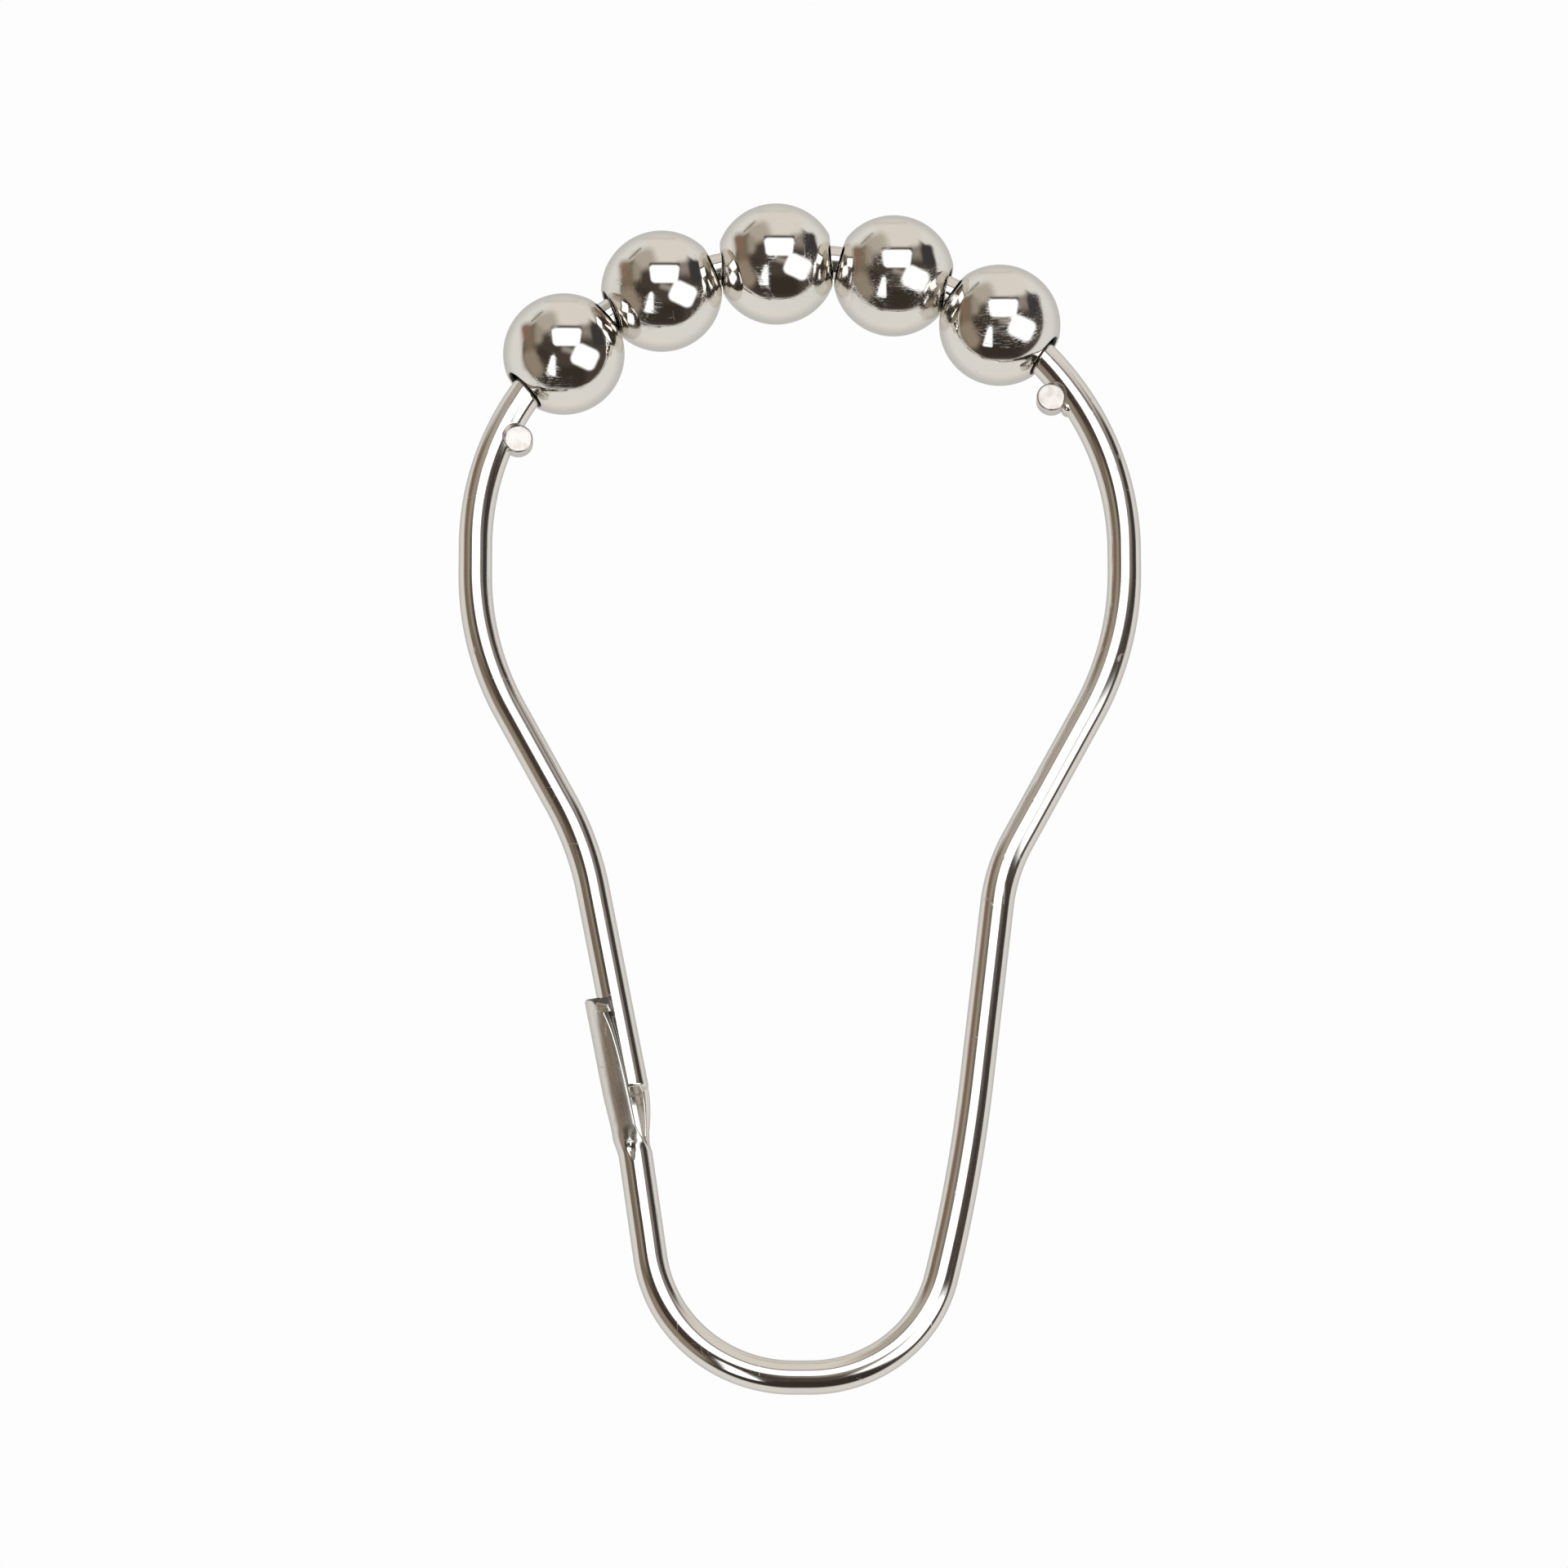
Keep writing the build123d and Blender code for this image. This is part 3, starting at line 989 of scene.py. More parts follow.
@dataclass(frozen=True)
class PlatedFinish:
    """A bright plated metal, with its own amounts of the shared effects."""

    name: str
    colour: Colour
    worn_colour: Colour
    dull_colour: Colour
    roughness: float = 0.05
    rough_tone: float = 0.03
    rough_lines: float = 0.08
    tone_share: float = 0.5
    pressed_colour: Colour = (0.66, 0.62, 0.58)
    # painted shade: a dark colour standing in for shadow on the keeper's lip and rim
    painted_shade_colour: Colour = (0.15, 0.135, 0.12)
    pressed_roughness: float = 0.22
    dull_roughness: float = 0.18
    painted_shade_roughness: float = 0.3
    streak_roughness: float = 0.26
    scratch_roughness: float = 0.25
    line_depth: float = 0.0
    streak_depth: float = 0.0
    scratch_depth: float = 0.0006 * MM
    ripple_depth: float = 0.0004 * MM
    pressed_depth: float = 0.004 * MM
    scratch_width: float = 0.012
    scratch_spread: float = 0.56

    def build(self, effects: SurfaceEffects) -> bpy.types.Material:
        """Make the material.

        Args:
            effects: The shared node groups.

        Returns:
            The material.
        """
        material = bpy.data.materials.new(self.name)
        material.use_nodes = True
        nodes = Nodes(material.node_tree)
        material.node_tree.nodes.clear()
        cloud = nodes.add("ShaderNodeGroup", node_tree=effects.cloud)
        hairs = nodes.add("ShaderNodeGroup", node_tree=effects.hairlines)
        hairs.inputs["Width"].default_value = self.scratch_width
        hairs.inputs["Spread"].default_value = self.scratch_spread
        pressed = nodes.add("ShaderNodeGroup", node_tree=effects.pressed_metal_and_shade)
        shader = nodes.add("ShaderNodeBsdfPrincipled")
        output = nodes.add("ShaderNodeOutputMaterial")
        tone = nodes.maths("MULTIPLY", cloud.outputs["Tone"], self.tone_share)
        colour = nodes.blend(tone, self.colour, self.dull_colour)
        colour = nodes.blend(pressed.outputs["Area"], colour, self.pressed_colour)
        colour = nodes.blend(pressed.outputs["Mask"], colour, self.worn_colour)
        # painted shade: the marked places are darkened to stand in for shadow
        colour = nodes.blend(pressed.outputs["Painted Shade"], colour, self.painted_shade_colour)
        rough: object = self.roughness
        for mask, amount in (
            (cloud.outputs["Tone"], self.rough_tone),
            (hairs.outputs["Mask"], self.scratch_roughness),
            (pressed.outputs["Area"], self.pressed_roughness),
            (pressed.outputs["Dull"], self.dull_roughness),
            (pressed.outputs["Painted Shade"], self.painted_shade_roughness),
        ):
            rough = nodes.maths("MULTIPLY_ADD", mask, amount, rough)
        normal = self._bump(nodes, cloud.outputs["Ripple"], self.ripple_depth, None)
        if self.line_depth:
            lines = nodes.add("ShaderNodeGroup", node_tree=effects.draw_lines)
            rough = nodes.maths("MULTIPLY_ADD", lines.outputs["Shade"], self.rough_lines, rough)
            normal = self._bump(nodes, lines.outputs["Height"], self.line_depth, normal)
        if self.streak_depth:
            streaks = nodes.add("ShaderNodeGroup", node_tree=effects.streaks)
            mask = streaks.outputs["Mask"]
            rough = nodes.maths("MULTIPLY_ADD", mask, self.streak_roughness, rough)
            normal = self._bump(nodes, mask, self.streak_depth, normal)
        normal = self._bump(nodes, hairs.outputs["Mask"], self.scratch_depth, normal)
        normal = self._bump(nodes, pressed.outputs["Height"], self.pressed_depth, normal)
        nodes.feed(colour, shader.inputs["Base Color"])
        nodes.feed(rough, shader.inputs["Roughness"])
        nodes.feed(normal, shader.inputs["Normal"])
        shader.inputs["Metallic"].default_value = 1.0
        nodes.feed(shader.outputs[0], output.inputs["Surface"])
        return material

    @staticmethod
    def _bump(nodes: Nodes, height: Socket, depth: float, under: Socket | None) -> Socket:
        """Add relief of a given depth over a normal.

        Args:
            nodes: The material's nodes.
            height: The relief, from 0 to 1.
            depth: Its depth in metres.
            under: The normal below it, if there is one.

        Returns:
            The new normal.
        """
        bump = nodes.add("ShaderNodeBump")
        bump.inputs["Strength"].default_value = 1.0
        bump.inputs["Distance"].default_value = depth
        nodes.feed(height, bump.inputs["Height"])
        if under is not None:
            nodes.feed(under, bump.inputs["Normal"])
        return bump.outputs[0]


# The ring


@dataclass
class RingWire:
    """The ring: one bent wire with its plain end, keeper and two stops."""

    line: WireLine
    radius: float = 1.1 * MM
    end_rounding: float = 0.2 * MM
    step: float = 0.36 * MM
    fine_step: float = 0.045 * MM
    fine_reach: float = 1.3 * MM
    fine_fade: float = 2.0 * MM
    blend_reach: float = 6.0 * MM
    map_step: float = 0.2 * MM                         # spacing of the keeper's rings, laid flat
    flank: float = 128.0                               # degrees from the outer side
    flank_reach: float = 40.0
    crowding: float = 3.0                              # how much closer the flanks' points lie
    flat_from: float = 0.5 * MM                        # height over the middle, where flats begin
    flat_fade: float = 0.03 * MM
    punched_reach: float = 1.08                        # of a stop's radius
    punched_fade: float = 0.15 * MM
    inside_dulling: float = 0.35                       # of the keeper's inside, to its outside
    left_inset: float = 1.2 * MM
    left_play: float = 2.0 * MM
    right_inset: float = 1.38 * MM
    right_play: float = 1.36 * MM
    burr: tuple[float, float] = (1.08 * MM, -0.66 * MM)

    def __post_init__(self) -> None:
        """Set out the keeper and the stops."""
        self.keeper = Keeper(self.line, wire_radius=self.radius)
        self.stops = [
            Stop(Side.LEFT, self.line, self.left_inset, self.left_play),
            Stop(Side.RIGHT, self.line, self.right_inset, self.right_play, burr=self.burr),
        ]

    def distances(self) -> list[float]:
        """Space the rings of points along the wire, closer at the stops and at the clasp.

        Returns:
            The distance of each ring from the plain end.
        """
        places = [self.end_rounding]
        while places[-1] < self.line.length - 1.5 * self.step:
            near = min(abs(places[-1] - stop.distance) for stop in self.stops)
            near = min(near, self.line.length - places[-1])
            share = float(smooth((near - self.fine_reach) / self.fine_fade))
            places.append(places[-1] + self.fine_step + share * (self.step - self.fine_step))
        return places + [self.line.length]

    def rings(self) -> tuple[list[np.ndarray], list[float]]:
        """Work out all rings of points from the plain end to the keeper's rim.

        Returns:
            The rings, and the distance along the wire of each.
        """
        base = self.keeper.round_angles()
        even = base[0] + 360.0 * np.arange(AROUND) / AROUND
        closer = self._closer(even)
        rings, along = [], []
        for turn in np.radians(np.linspace(90, 0, END_RINGS + 1)[:-1]):
            reach = self.radius - self.end_rounding * (1 - math.cos(turn))
            place = self.line.at(self.end_rounding * (1 - math.sin(turn)))
            way = self.line.heading(self.end_rounding)
            rings.append(Section(on_circle(reach, even), place, way).placed())
            along.append(self.end_rounding * (1 - math.sin(turn)))
        for distance in self.distances():
            share = float(smooth(1 - (self.line.length - distance) / self.blend_reach))
            near = min(abs(distance - stop.distance) for stop in self.stops)
            focus = float(smooth(1 - (near - self.fine_reach) / self.fine_fade))
            angles = even + (base - even) * share + (closer - even) * focus
            ring = Section(
                on_circle(self.radius, angles), self.line.at(distance), self.line.heading(distance)
            ).placed()
            for stop in self.stops:
                ring = stop.press(ring)
            rings.append(self.keeper.creased(ring) if share > 0.5 else ring)
            along.append(distance)
        for ring in self.keeper.run_out() + self.keeper.barrel():
            along.append(along[-1] + self.map_step)
            rings.append(ring)
        return rings, along

    def _closer(self, even: np.ndarray) -> np.ndarray:
        """Draw the points of a section together where the stops' walls cross the wire.

        Args:
            even: Evenly spaced angles, in degrees.

        Returns:
            The new angles, which lie closer over the inner side's flanks.
        """
        fine = even[0] + np.linspace(0, 360, 721)
        inner = np.abs(np.abs((fine + 180) % 360 - 180) - self.flank) < self.flank_reach
        total = np.concatenate([[0.0], np.cumsum(np.where(inner[:-1], self.crowding, 1.0))])
        return np.interp(np.arange(AROUND) / AROUND, total / total[-1], fine)

    def build(self, finish: bpy.types.Material) -> bpy.types.Object:
        """Make the ring and dress it.

        Args:
            finish: The wire's material.

        Returns:
            The ring's object.
        """
        mesh = bmesh.new()
        rings, along = self.rings()
        grown = [[mesh.verts.new(tuple(point)) for point in ring] for ring in rings]
        faces = bridged(mesh, grown)
        start = self.line.at(0.0)
        fanned(mesh, grown[0], (start[0], 0.0, start[1]))
        self._close_rim(mesh, grown[-1])
        layer = mesh.loops.layers.uv.new("WireMap")
        self._map(faces, along, layer)
        for stop in self.stops:
            stop.build(mesh)
        ring = finished_object(mesh, "ring_wire_plated")
        self._mark_pressed_and_shade(ring, len(rings))
        ring.data.materials.append(finish)
        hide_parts("ring_wire")
        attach(ring, "ring")
        return ring

    @staticmethod
    def _close_rim(mesh: bmesh.types.BMesh, rim: list[bmesh.types.BMVert]) -> None:
        """Close the keeper's rim with a strip across its wall and a cap on each lip.

        Args:
            mesh: The ring's mesh.
            rim: The last ring of points.
        """
        last = 2 * WALL + LIP - 1
        for k in range(WALL - 1):
            mesh.faces.new((rim[k], rim[k + 1], rim[last - k - 1], rim[last - k]))
        mesh.faces.new(rim[WALL - 1 : WALL + LIP + 1])
        mesh.faces.new(rim[last:] + rim[:1])

    def _map(
        self,
        faces: list[bmesh.types.BMFace],
        along: list[float],
        layer: bmesh.types.BMLayerItem,
    ) -> None:
        """Lay the wire's surface out flat: along the wire, and round it.

        Args:
            faces: The tube's faces, ring by ring.
            along: Distance along the wire of each ring.
            layer: The layer that takes the result.
        """
        arc = math.tau * self.radius / AROUND
        for number, face in enumerate(faces):
            ring, step = divmod(number, AROUND)
            low, high = along[ring], along[ring + 1]
            corners = ((low, step), (low, step + 1), (high, step + 1), (high, step))
            for loop, (u, v) in zip(face.loops, corners):
                loop[layer].uv = (u, v * arc)

    def _mark_pressed_and_shade(self, ring: bpy.types.Object, rings: int) -> None:
        """Mark the metal that the tools touched, and the painted shade on the keeper's front lip
        and rim, for the finish.

        Args:
            ring: The ring's object, whose tube comes first in its mesh.
            rings: How many rings of points the tube has.
        """
        data = ring.data
        count = len(data.vertices)
        places = np.empty(count * 3)
        data.vertices.foreach_get("co", places)
        places = places.reshape(-1, 3)
        pressed, dull, painted_shade = np.zeros(count), np.zeros(count), np.zeros(count)
        flat = smooth((np.abs(places[:, 1]) - self.flat_from) / self.flat_fade)
        for stop in self.stops:
            across = np.hypot(places[:, 0] - stop.centre[0], places[:, 2] - stop.centre[1])
            area = smooth((stop.radius * self.punched_reach - across) / self.punched_fade)
            pressed = np.maximum(pressed, flat * area)
        keeper_rings = self.keeper.run_count + self.keeper.barrel_count + RIM_RINGS
        for number in range(keeper_rings):
            first = (rings - keeper_rings + number) * AROUND
            share = float(smooth(number / self.keeper.run_count))
            dull[first : first + WALL] = share
            dull[first + WALL : first + AROUND - LIP] = self.inside_dulling * share
            # painted shade: the front lip's face and the mouth's rim are darkened to stand in for
            # shadow
            painted_shade[first + AROUND - LIP - 1 : first + AROUND - 2] = share
            if number > keeper_rings - RIM_RINGS:
                painted_shade[first : first + AROUND] = 1.0
        for name, marks in (("pressed", pressed), ("dull", dull), ("painted_shade", painted_shade)):
            layer = data.attributes.new(name, "FLOAT", "POINT")
            layer.data.foreach_set("value", marks)


# The balls


@dataclass
class RollerBall:
    """One hollow ball that rolls on the crown."""

    number: int
    centre: Vector
    axis: Vector
    radius: float = 4.0 * MM
    wall: float = 0.5 * MM
    hole_radius: float = 1.4 * MM
    rim_outside: float = 0.25 * MM
    rim_inside: float = 0.12 * MM
    # how far the painted shade reaches over the hole's edge
    painted_shade_edge: float = 0.14 * MM                       # of the hole's edge, beyond the bore
    turns: int = 112
    outer_points: int = 72
    inner_points: int = 40
    rim_steps: int = 7

    def profile(self) -> list[tuple[float, float]]:
        """Draw half the ball's section as a closed line.

        Returns:
            The distance of each point along the hole's axis, and from it.
        """
        outer = self._rim(self.radius, -self.rim_outside)
        inner = self._rim(self.radius - self.wall, self.rim_inside)
        points = self._sphere(self.radius, outer[0], self.outer_points)
        points += outer[1:]
        points += list(reversed(inner))[:-1]
        hollow = self._sphere(self.radius - self.wall, inner[0], self.inner_points)
        points += list(reversed(hollow))
        points += [(-x, y) for x, y in inner[1:]]
        points += [(-x, y) for x, y in reversed(outer)][:-1]
        return points

    @staticmethod
    def _sphere(radius: float, end: tuple[float, float], count: int) -> list[tuple[float, float]]:
        """Draw a sphere's section from the mirrored end to the end itself.

        Args:
            radius: The sphere's radius.
            end: The last point, along the hole's axis and from it.
            count: How many points.

        Returns:
            The points.
        """
        reach = math.atan2(end[0], end[1])
        return [
            (radius * math.sin(t), radius * math.cos(t)) for t in np.linspace(-reach, reach, count)
        ]

    def _rim(self, sphere: float, offset: float) -> list[tuple[float, float]]:
        """Round the hole's edge.

        Args:
            sphere: Radius of the sphere that the hole passes.
            offset: Offset of the rounding's centre from it, negative for the outside.

        Returns:
            Points from the sphere round into the hole.
        """
        size = abs(offset)
        height = self.hole_radius + size
        along = math.sqrt((sphere + offset) ** 2 - height**2)
        sign = 1 if offset < 0 else -1
        first = math.atan2(sign * height, sign * along)
        last = -math.pi / 2
        turn = (last - first) % -math.tau if offset < 0 else (last - first) % math.tau
        if offset > 0 and turn > math.pi:
            turn -= math.tau
        turns = [first + turn * step / self.rim_steps for step in range(self.rim_steps + 1)]
        return [(along + size * math.cos(t), height + size * math.sin(t)) for t in turns]

    def _mark_inside(self, ball: bpy.types.Object) -> None:
        """Mark the painted shade inside the hole and the hollow, for the finish.

        Args:
            ball: The ball's object.
        """
        profile = self.profile()
        bore, hollow = self.hole_radius + self.painted_shade_edge, self.radius - self.wall / 2
        inside = [float(y < bore or math.hypot(x, y) < hollow) for x, y in profile]
        layer = ball.data.attributes.new("painted_shade", "FLOAT", "POINT")
        layer.data.foreach_set("value", inside * self.turns)

    def build(self, finish: bpy.types.Material) -> bpy.types.Object:
        """Turn the ball about the wire and dress it.

        Args:
            finish: The balls' material.

        Returns:
            The ball's object.
        """
        mesh = bmesh.new()
        across = self.axis.cross(Vector((0.0, 1.0, 0.0))).normalized()
        deep = self.axis.cross(across).normalized()
        rings = []
        for step in range(self.turns):
            turn = math.tau * step / self.turns
            out = across * math.cos(turn) + deep * math.sin(turn)
            rings.append(
                [mesh.verts.new(self.centre + self.axis * x + out * y) for x, y in self.profile()]
            )
        bridged(mesh, rings + rings[:1])
        ball = finished_object(mesh, f"ball_{self.number}_plated")
        self._mark_inside(ball)
        ball.data.materials.append(finish)
        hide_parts(f"ball_{self.number}")
        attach(ball, f"ball_{self.number}")
        return ball


# The studio


@dataclass(frozen=True)
class RoomPatch:
    """A soft-edged patch of the room, placed as a mirror ball beside the camera shows it."""

    middle: tuple[float, float]      # across and up, in radii of the mirror ball
    half: tuple[float, float]        # half its width and height
    seen: Colour                     # as a screen shows it in a plated ball
    gain: float = 1.0                # how much brighter than that it shines
    turn: float = 0.0                # radians, its top to the left if positive
    soft: float = 0.05
    corner: float = 0.03
    taper: float = 0.0               # how much narrower it is at the top


@dataclass
class Studio:
    """A pale floor, soft light and a bright surround with a dim room on the camera's side."""

    target: Vector = Vector((-1.036 * MM, 0.0, -32.13 * MM))
    distance: float = 800 * MM
    rise: float = 18.0
    field_width: float = PHOTO_WIDTH * PIXEL
    mirror: Colour = (0.80, 0.77, 0.72)
    backdrop: Colour = (253, 253, 253)
    floor_height: float = -0.32
    floor_radius: float = 6.0
    floor_glow: float = 0.985
    lamp_place: tuple[float, float, float] = (0.4, -0.6, 1.1)
    lamp_size: float = 1.2
    lamp_power: float = 6.0
    paper: Colour = (213, 209, 201)
    far_wall: Colour = (182, 178, 171)
    far_reach: tuple[float, float] = (-0.35, -0.98)    # of the way to the camera, for its fade
    patches: tuple[RoomPatch, ...] = (
        RoomPatch((0.0, -0.84), (0.5, 0.06), (216, 209, 198), soft=0.2, corner=0.05),
        RoomPatch((0.02, 0.045), (0.69, 0.625), (70, 62, 54), soft=0.05, corner=0.62),
        RoomPatch((0.08, 0.67), (0.35, 0.235), (213, 205, 194), soft=0.13, corner=0.12),
        RoomPatch((-0.05, 0.86), (0.26, 0.014), (194, 186, 172), soft=0.06, corner=0.012),
        RoomPatch((-0.28, 0.51), (0.18, 0.16), (170, 160, 145), turn=0.3, soft=0.16, corner=0.1),
        RoomPatch((-0.42, 0.3), (0.08, 0.14), (150, 139, 122), soft=0.12, corner=0.06),
        RoomPatch((-0.56, 0.12), (0.1, 0.38), (118, 102, 84), turn=0.05, soft=0.16, corner=0.08),
        RoomPatch((-0.49, -0.17), (0.12, 0.22), (140, 126, 108), turn=0.45, soft=0.14, corner=0.1),
        RoomPatch((-0.61, 0.34), (0.05, 0.12), (128, 99, 80), turn=0.2, soft=0.07, corner=0.05),
        RoomPatch((-0.43, 0.61), (0.13, 0.012), (112, 100, 86), turn=0.75, soft=0.05, corner=0.01),
        RoomPatch((0.37, 0.36), (0.1, 0.1), (136, 126, 115), soft=0.18),
        RoomPatch((0.56, 0.32), (0.1, 0.19), (57, 54, 53), turn=0.2, soft=0.07, corner=0.08),
        RoomPatch((-0.22, 0.02), (0.14, 0.2), (66, 58, 50), soft=0.14, corner=0.1),
        RoomPatch((-0.3, -0.02), (0.14, 0.06), (58, 50, 43), turn=-0.6, soft=0.08, corner=0.05),
        RoomPatch((0.1, 0.04), (0.12, 0.04), (150, 142, 132), turn=-0.3, soft=0.1, corner=0.03),
        RoomPatch((0.02, -0.38), (0.36, 0.17), (53, 46, 39), soft=0.14, corner=0.15),
        RoomPatch((0.05, 0.285), (0.25, 0.165), (62, 54, 47), soft=0.05),
        RoomPatch((0.05, 0.265), (0.226, 0.14), WINDOW, GLARE, soft=0.06, corner=0.06, taper=-0.08),
        RoomPatch((0.355, -0.06), (0.2, 0.17), WINDOW, GLARE, turn=-0.42, soft=0.08, corner=0.09),
        RoomPatch(
            (-0.185, -0.2),
            (0.052, 0.165),
            WINDOW,
            GLARE,
            turn=-0.14,
            soft=0.045,
            corner=0.025,
            taper=0.5,
        ),
    )

    def build(self) -> None:
        """Set up the camera, the light, the floor and the surround."""
        scene = bpy.context.scene
        scene.view_settings.view_transform = "Standard"
        self._camera(scene)
        self._lamp(scene)
        self._floor(scene)
        self._surround(scene)

    def _camera(self, scene: bpy.types.Scene) -> None:
        """Put the camera in front of the ring and look up at it, as in the photo.

        Args:
            scene: The scene that it films.
        """
        rise = math.radians(self.rise)
        data = bpy.data.cameras.new("studio_camera")
        data.sensor_width = 36.0
        data.lens = data.sensor_width * self.distance / self.field_width
        data.clip_start, data.clip_end = 0.05, 50.0
        camera = bpy.data.objects.new("studio_camera", data)
        back = Vector((0.0, -math.cos(rise), -math.sin(rise)))
        camera.location = self.target + back * self.distance
        camera.rotation_euler = (math.pi / 2 + rise, 0.0, 0.0)
        scene.collection.objects.link(camera)
        scene.camera = camera

    def _lamp(self, scene: bpy.types.Scene) -> None:
        """Hang one large soft lamp over the floor, whose mirror image is left to the surround.

        Args:
            scene: The scene that it lights.
        """
        data = bpy.data.lights.new("soft_lamp", "AREA")
        data.shape, data.size, data.energy = "DISK", self.lamp_size, self.lamp_power
        lamp = bpy.data.objects.new("soft_lamp", data)
        lamp.location = self.lamp_place
        lamp.rotation_euler = (-Vector(self.lamp_place)).to_track_quat("-Z", "Y").to_euler()
        lamp.visible_glossy = False
        scene.collection.objects.link(lamp)

    def _floor(self, scene: bpy.types.Scene) -> None:
        """Lay a plain pale floor below, which lets the camera look up through it.

        Args:
            scene: The scene that it lies in.
        """
        mesh = bmesh.new()
        bmesh.ops.create_circle(mesh, cap_ends=True, segments=96, radius=self.floor_radius)
        data = bpy.data.meshes.new("studio_floor")
        mesh.to_mesh(data)
        mesh.free()
        floor = bpy.data.objects.new("studio_floor", data)
        floor.location = (0.0, 0.0, self.floor_height)
        floor.visible_glossy = False
        floor.visible_shadow = False
        scene.collection.objects.link(floor)
        material = bpy.data.materials.new("pale_floor")
        material.use_nodes = True
        nodes = Nodes(material.node_tree)
        material.node_tree.nodes.clear()
        paper = nodes.add("ShaderNodeBsdfPrincipled")
        paper.inputs["Base Color"].default_value = (0.03, 0.03, 0.03, 1.0)
        paper.inputs["Roughness"].default_value = 1.0
        paper.inputs["Emission Color"].default_value = (*linear(*self.backdrop), 1.0)
        paper.inputs["Emission Strength"].default_value = self.floor_glow
        clear = nodes.add("ShaderNodeBsdfTransparent")
        facing = nodes.add("ShaderNodeNewGeometry")
        mixed = nodes.add("ShaderNodeMixShader")
        nodes.feed(facing.outputs["Backfacing"], mixed.inputs[0])
        nodes.feed(paper.outputs[0], mixed.inputs[1])
        nodes.feed(clear.outputs[0], mixed.inputs[2])
        output = nodes.add("ShaderNodeOutputMaterial")
        nodes.feed(mixed.outputs[0], output.inputs["Surface"])
        data.materials.append(material)

    @staticmethod
    def _patch_group() -> bpy.types.NodeTree:
        """A rounded, tapered rectangle with soft edges, on the mirror ball's face.

        Returns:
            The node group.
        """
        nodes, given, made = new_group(
            "Room Patch",
            {
                "Across": 0.0,
                "Up": 0.0,
                "Middle Across": 0.0,
                "Middle Up": 0.0,
                "Half Width": 0.1,
                "Half Height": 0.1,
                "Cosine": 1.0,
                "Sine": 0.0,
                "Softness": 0.05,
                "Corner": 0.03,
                "Taper": 0.0,
            },
            ["Mask"],
        )
        value = given.outputs
        across = nodes.maths("SUBTRACT", value["Across"], value["Middle Across"])
        up = nodes.maths("SUBTRACT", value["Up"], value["Middle Up"])
        turned = []
        for operation, ahead, aside in (("ADD", across, up), ("SUBTRACT", up, across)):
            along = nodes.maths("MULTIPLY", ahead, value["Cosine"])
            over = nodes.maths("MULTIPLY", aside, value["Sine"])
            turned.append(nodes.maths(operation, along, over))
        x, y = turned
        rise = nodes.maths("DIVIDE", y, value["Half Height"])
        left = nodes.maths("SUBTRACT", 1.0, nodes.maths("MULTIPLY", rise, value["Taper"]))
        width = nodes.maths("MULTIPLY", value["Half Width"], left)
        over = []
        for place, half in ((x, width), (y, value["Half Height"])):
            inner = nodes.maths("SUBTRACT", half, value["Corner"])
            over.append(nodes.maths("SUBTRACT", nodes.maths("ABSOLUTE", place), inner))
        squares = [nodes.maths("POWER", nodes.maths("MAXIMUM", item, 0.0), 2.0) for item in over]
        outside = nodes.maths("SQRT", nodes.maths("ADD", *squares))
        inside = nodes.maths("MINIMUM", nodes.maths("MAXIMUM", *over), 0.0)
        gap = nodes.maths("SUBTRACT", nodes.maths("ADD", outside, inside), value["Corner"])
        half_soft = nodes.maths("MULTIPLY", value["Softness"], 0.5)
        eased = nodes.ramp(gap, nodes.maths("MULTIPLY", half_soft, -1.0), half_soft)
        nodes.feed(nodes.maths("SUBTRACT", 1.0, eased), made.inputs["Mask"])
        return nodes.tree

    def _lit(self, seen: Colour, gain: float = 1.0) -> Colour:
        """The light that the plated balls show as a given display colour."""
        return tuple(gain * part / own for part, own in zip(linear(*seen), self.mirror))

    def _paint(
        self, nodes: Nodes, colour: Socket | Colour, across: Socket, up: Socket
    ) -> Socket:
        """Lay the room's patches over a colour, lowest first.

        Args:
            nodes: The surround's nodes.
            colour: What lies below them.
            across: Place across the mirror ball.
            up: Place up the mirror ball.

        Returns:
            The painted colour.
        """
        group = self._patch_group()
        for patch in self.patches:
            node = nodes.add("ShaderNodeGroup", node_tree=group)
            values = {
                "Across": across,
                "Up": up,
                "Middle Across": patch.middle[0],
                "Middle Up": patch.middle[1],
                "Half Width": patch.half[0],
                "Half Height": patch.half[1],
                "Cosine": math.cos(patch.turn),
                "Sine": math.sin(patch.turn),
                "Softness": patch.soft,
                "Corner": patch.corner,
                "Taper": patch.taper,
            }
            for name, value in values.items():
                nodes.feed(value, node.inputs[name])
            colour = nodes.blend(node.outputs["Mask"], colour, self._lit(patch.seen, patch.gain))
        return colour

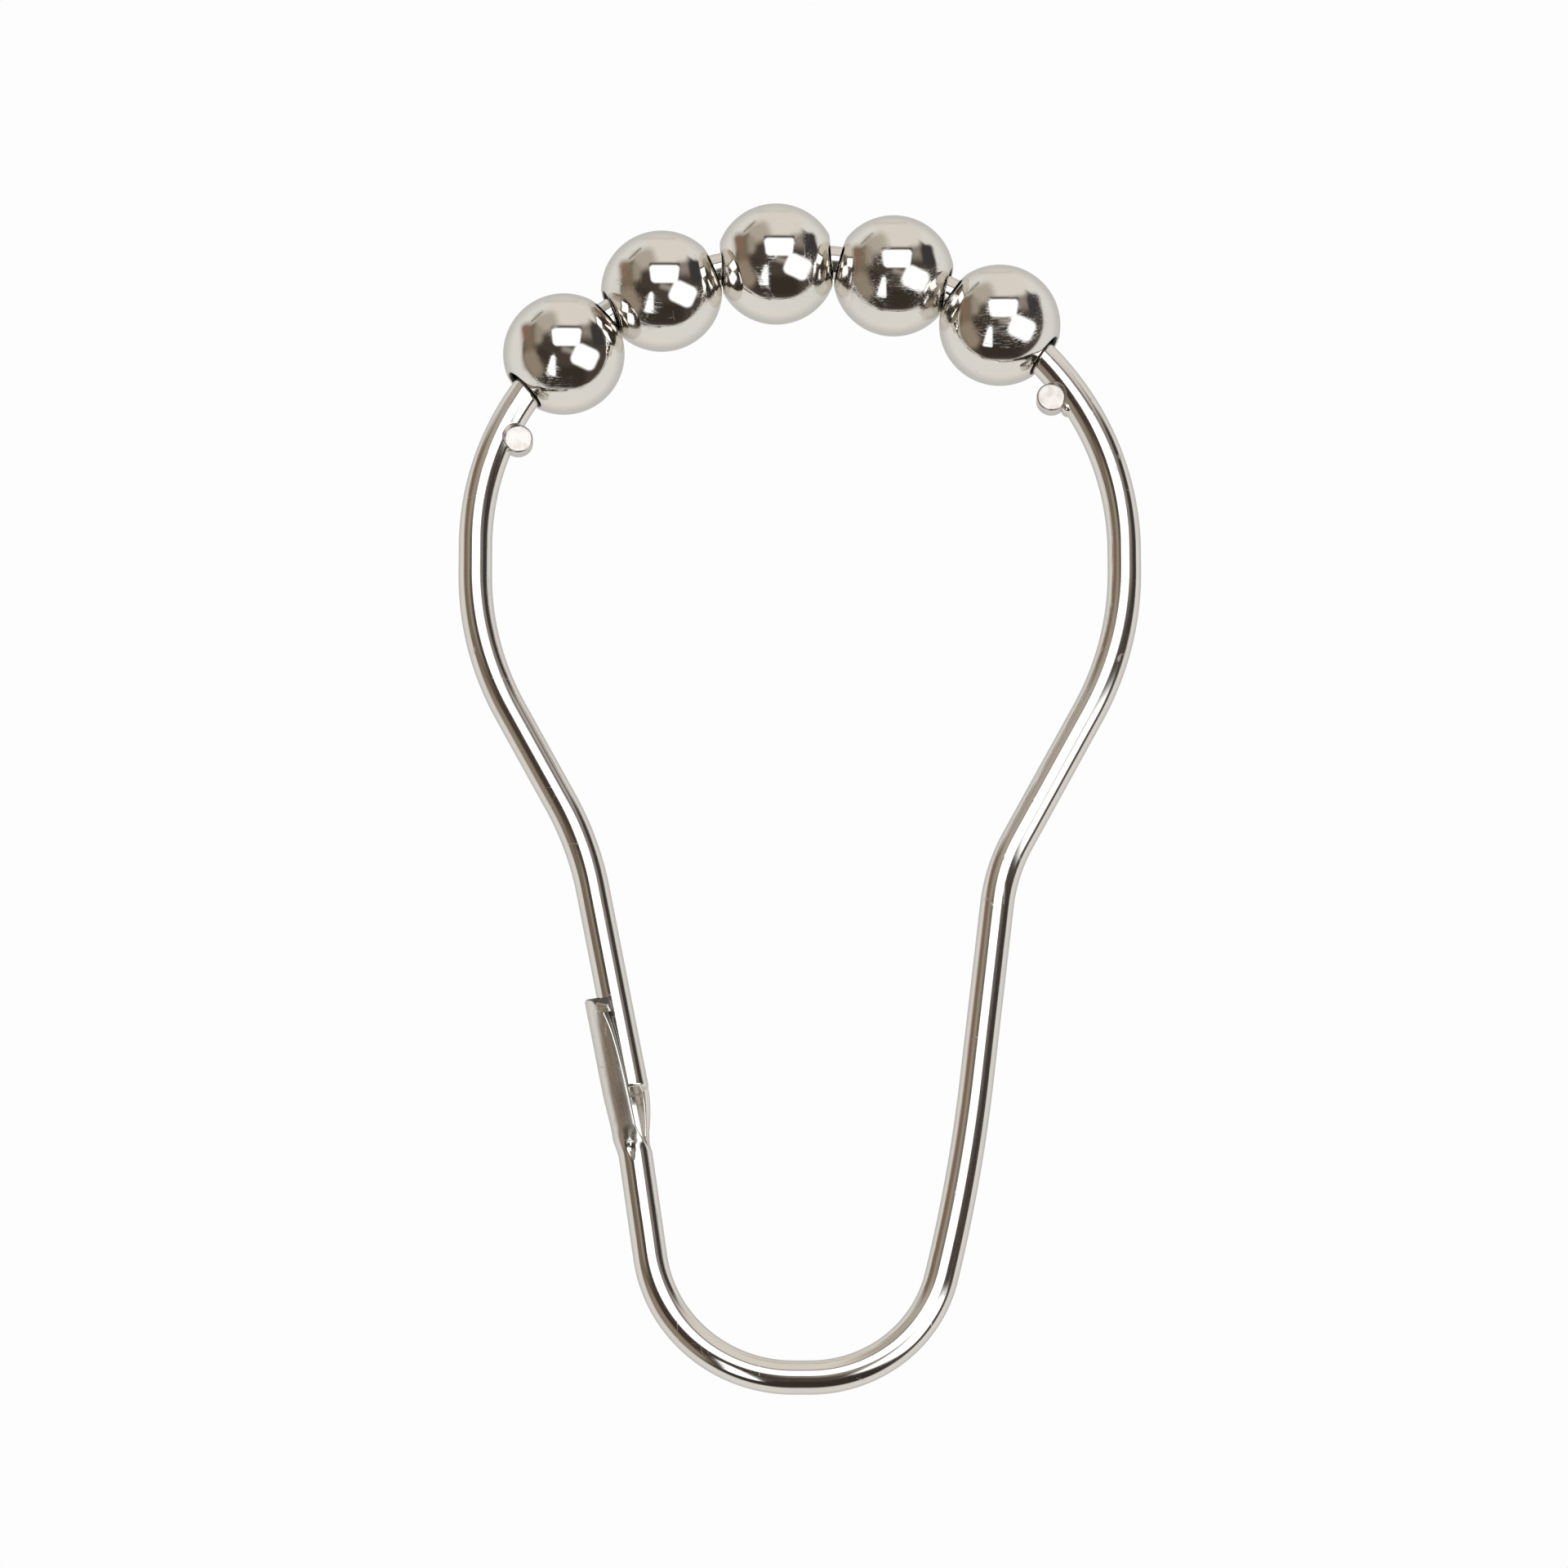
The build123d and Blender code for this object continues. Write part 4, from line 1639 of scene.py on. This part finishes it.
    def _surround(self, scene: bpy.types.Scene) -> None:
        """Paint the surround: plain white to the camera, and a dim room to the plated metal.

        Args:
            scene: The scene that it closes in.
        """
        world = bpy.data.worlds.new("studio_surround")
        scene.world = world
        world.use_nodes = True
        world.cycles.sampling_method = "NONE"
        world.cycles_visibility.diffuse = False
        nodes = Nodes(world.node_tree)
        world.node_tree.nodes.clear()
        way = nodes.add("ShaderNodeTexCoord").outputs["Generated"]
        rise = math.radians(self.rise)
        right = nodes.dot(way, (1.0, 0.0, 0.0))
        up = nodes.dot(way, (0.0, -math.sin(rise), math.cos(rise)))
        near = nodes.dot(way, (0.0, -math.cos(rise), -math.sin(rise)))
        doubled = nodes.maths("MULTIPLY_ADD", near, 2.0, 2.0)
        front = nodes.maths("SQRT", nodes.maths("MAXIMUM", doubled, 1e-6))
        across, rising = (nodes.maths("DIVIDE", part, front) for part in (right, up))
        colour = self._paint(nodes, self._lit(self.paper), across, rising)
        far_side = nodes.ramp(near, *self.far_reach)
        colour = nodes.blend(far_side, colour, self._lit(self.far_wall))
        mirrored = nodes.add("ShaderNodeBackground")
        nodes.feed(colour, mirrored.inputs["Color"])
        plain = nodes.add("ShaderNodeBackground")
        plain.inputs["Color"].default_value = (*linear(*self.backdrop), 1.0)
        path = nodes.add("ShaderNodeLightPath")
        mixed = nodes.add("ShaderNodeMixShader")
        nodes.feed(path.outputs["Is Camera Ray"], mixed.inputs[0])
        nodes.feed(mirrored.outputs[0], mixed.inputs[1])
        nodes.feed(plain.outputs[0], mixed.inputs[2])
        output = nodes.add("ShaderNodeOutputWorld")
        nodes.feed(mixed.outputs[0], output.inputs["Surface"])


WIRE_FINISH = PlatedFinish(
    "plated_wire",
    colour=(0.79, 0.76, 0.71),
    worn_colour=(0.52, 0.46, 0.41),
    dull_colour=(0.74, 0.70, 0.65),
    roughness=0.07,
    line_depth=0.0003 * MM,
)
BALL_FINISH = PlatedFinish(
    "plated_ball",
    colour=(0.81, 0.78, 0.73),
    worn_colour=(0.86, 0.83, 0.80),
    dull_colour=(0.78, 0.75, 0.70),
    # painted shade: near black inside the holes and the hollows
    painted_shade_colour=(0.045, 0.04, 0.036),
    roughness=0.03,
    rough_tone=0.02,
    streak_depth=0.0004 * MM,
)


def main() -> None:
    """Build the hook over its frame and set up the studio."""
    logging.basicConfig(level=logging.INFO, format="%(message)s")
    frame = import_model()
    effects = SurfaceEffects()
    wire = RingWire(WireLine()).build(WIRE_FINISH.build(effects))
    LOG.info("%s: %d points, replaces ring_wire", wire.name, len(wire.data.vertices))
    ball_material = BALL_FINISH.build(effects)
    for number, joint in enumerate(frame["joints"], start=1):
        roller = RollerBall(number, Vector(joint["pos_m"]), Vector(joint["axis"]))
        ball = roller.build(ball_material)
        LOG.info("%s: %d points, replaces %s", ball.name, len(ball.data.vertices), joint["child"])
    Studio().build()
    LOG.info("studio: camera, lamp, floor and surround")


if __name__ == "__main__":
    main()
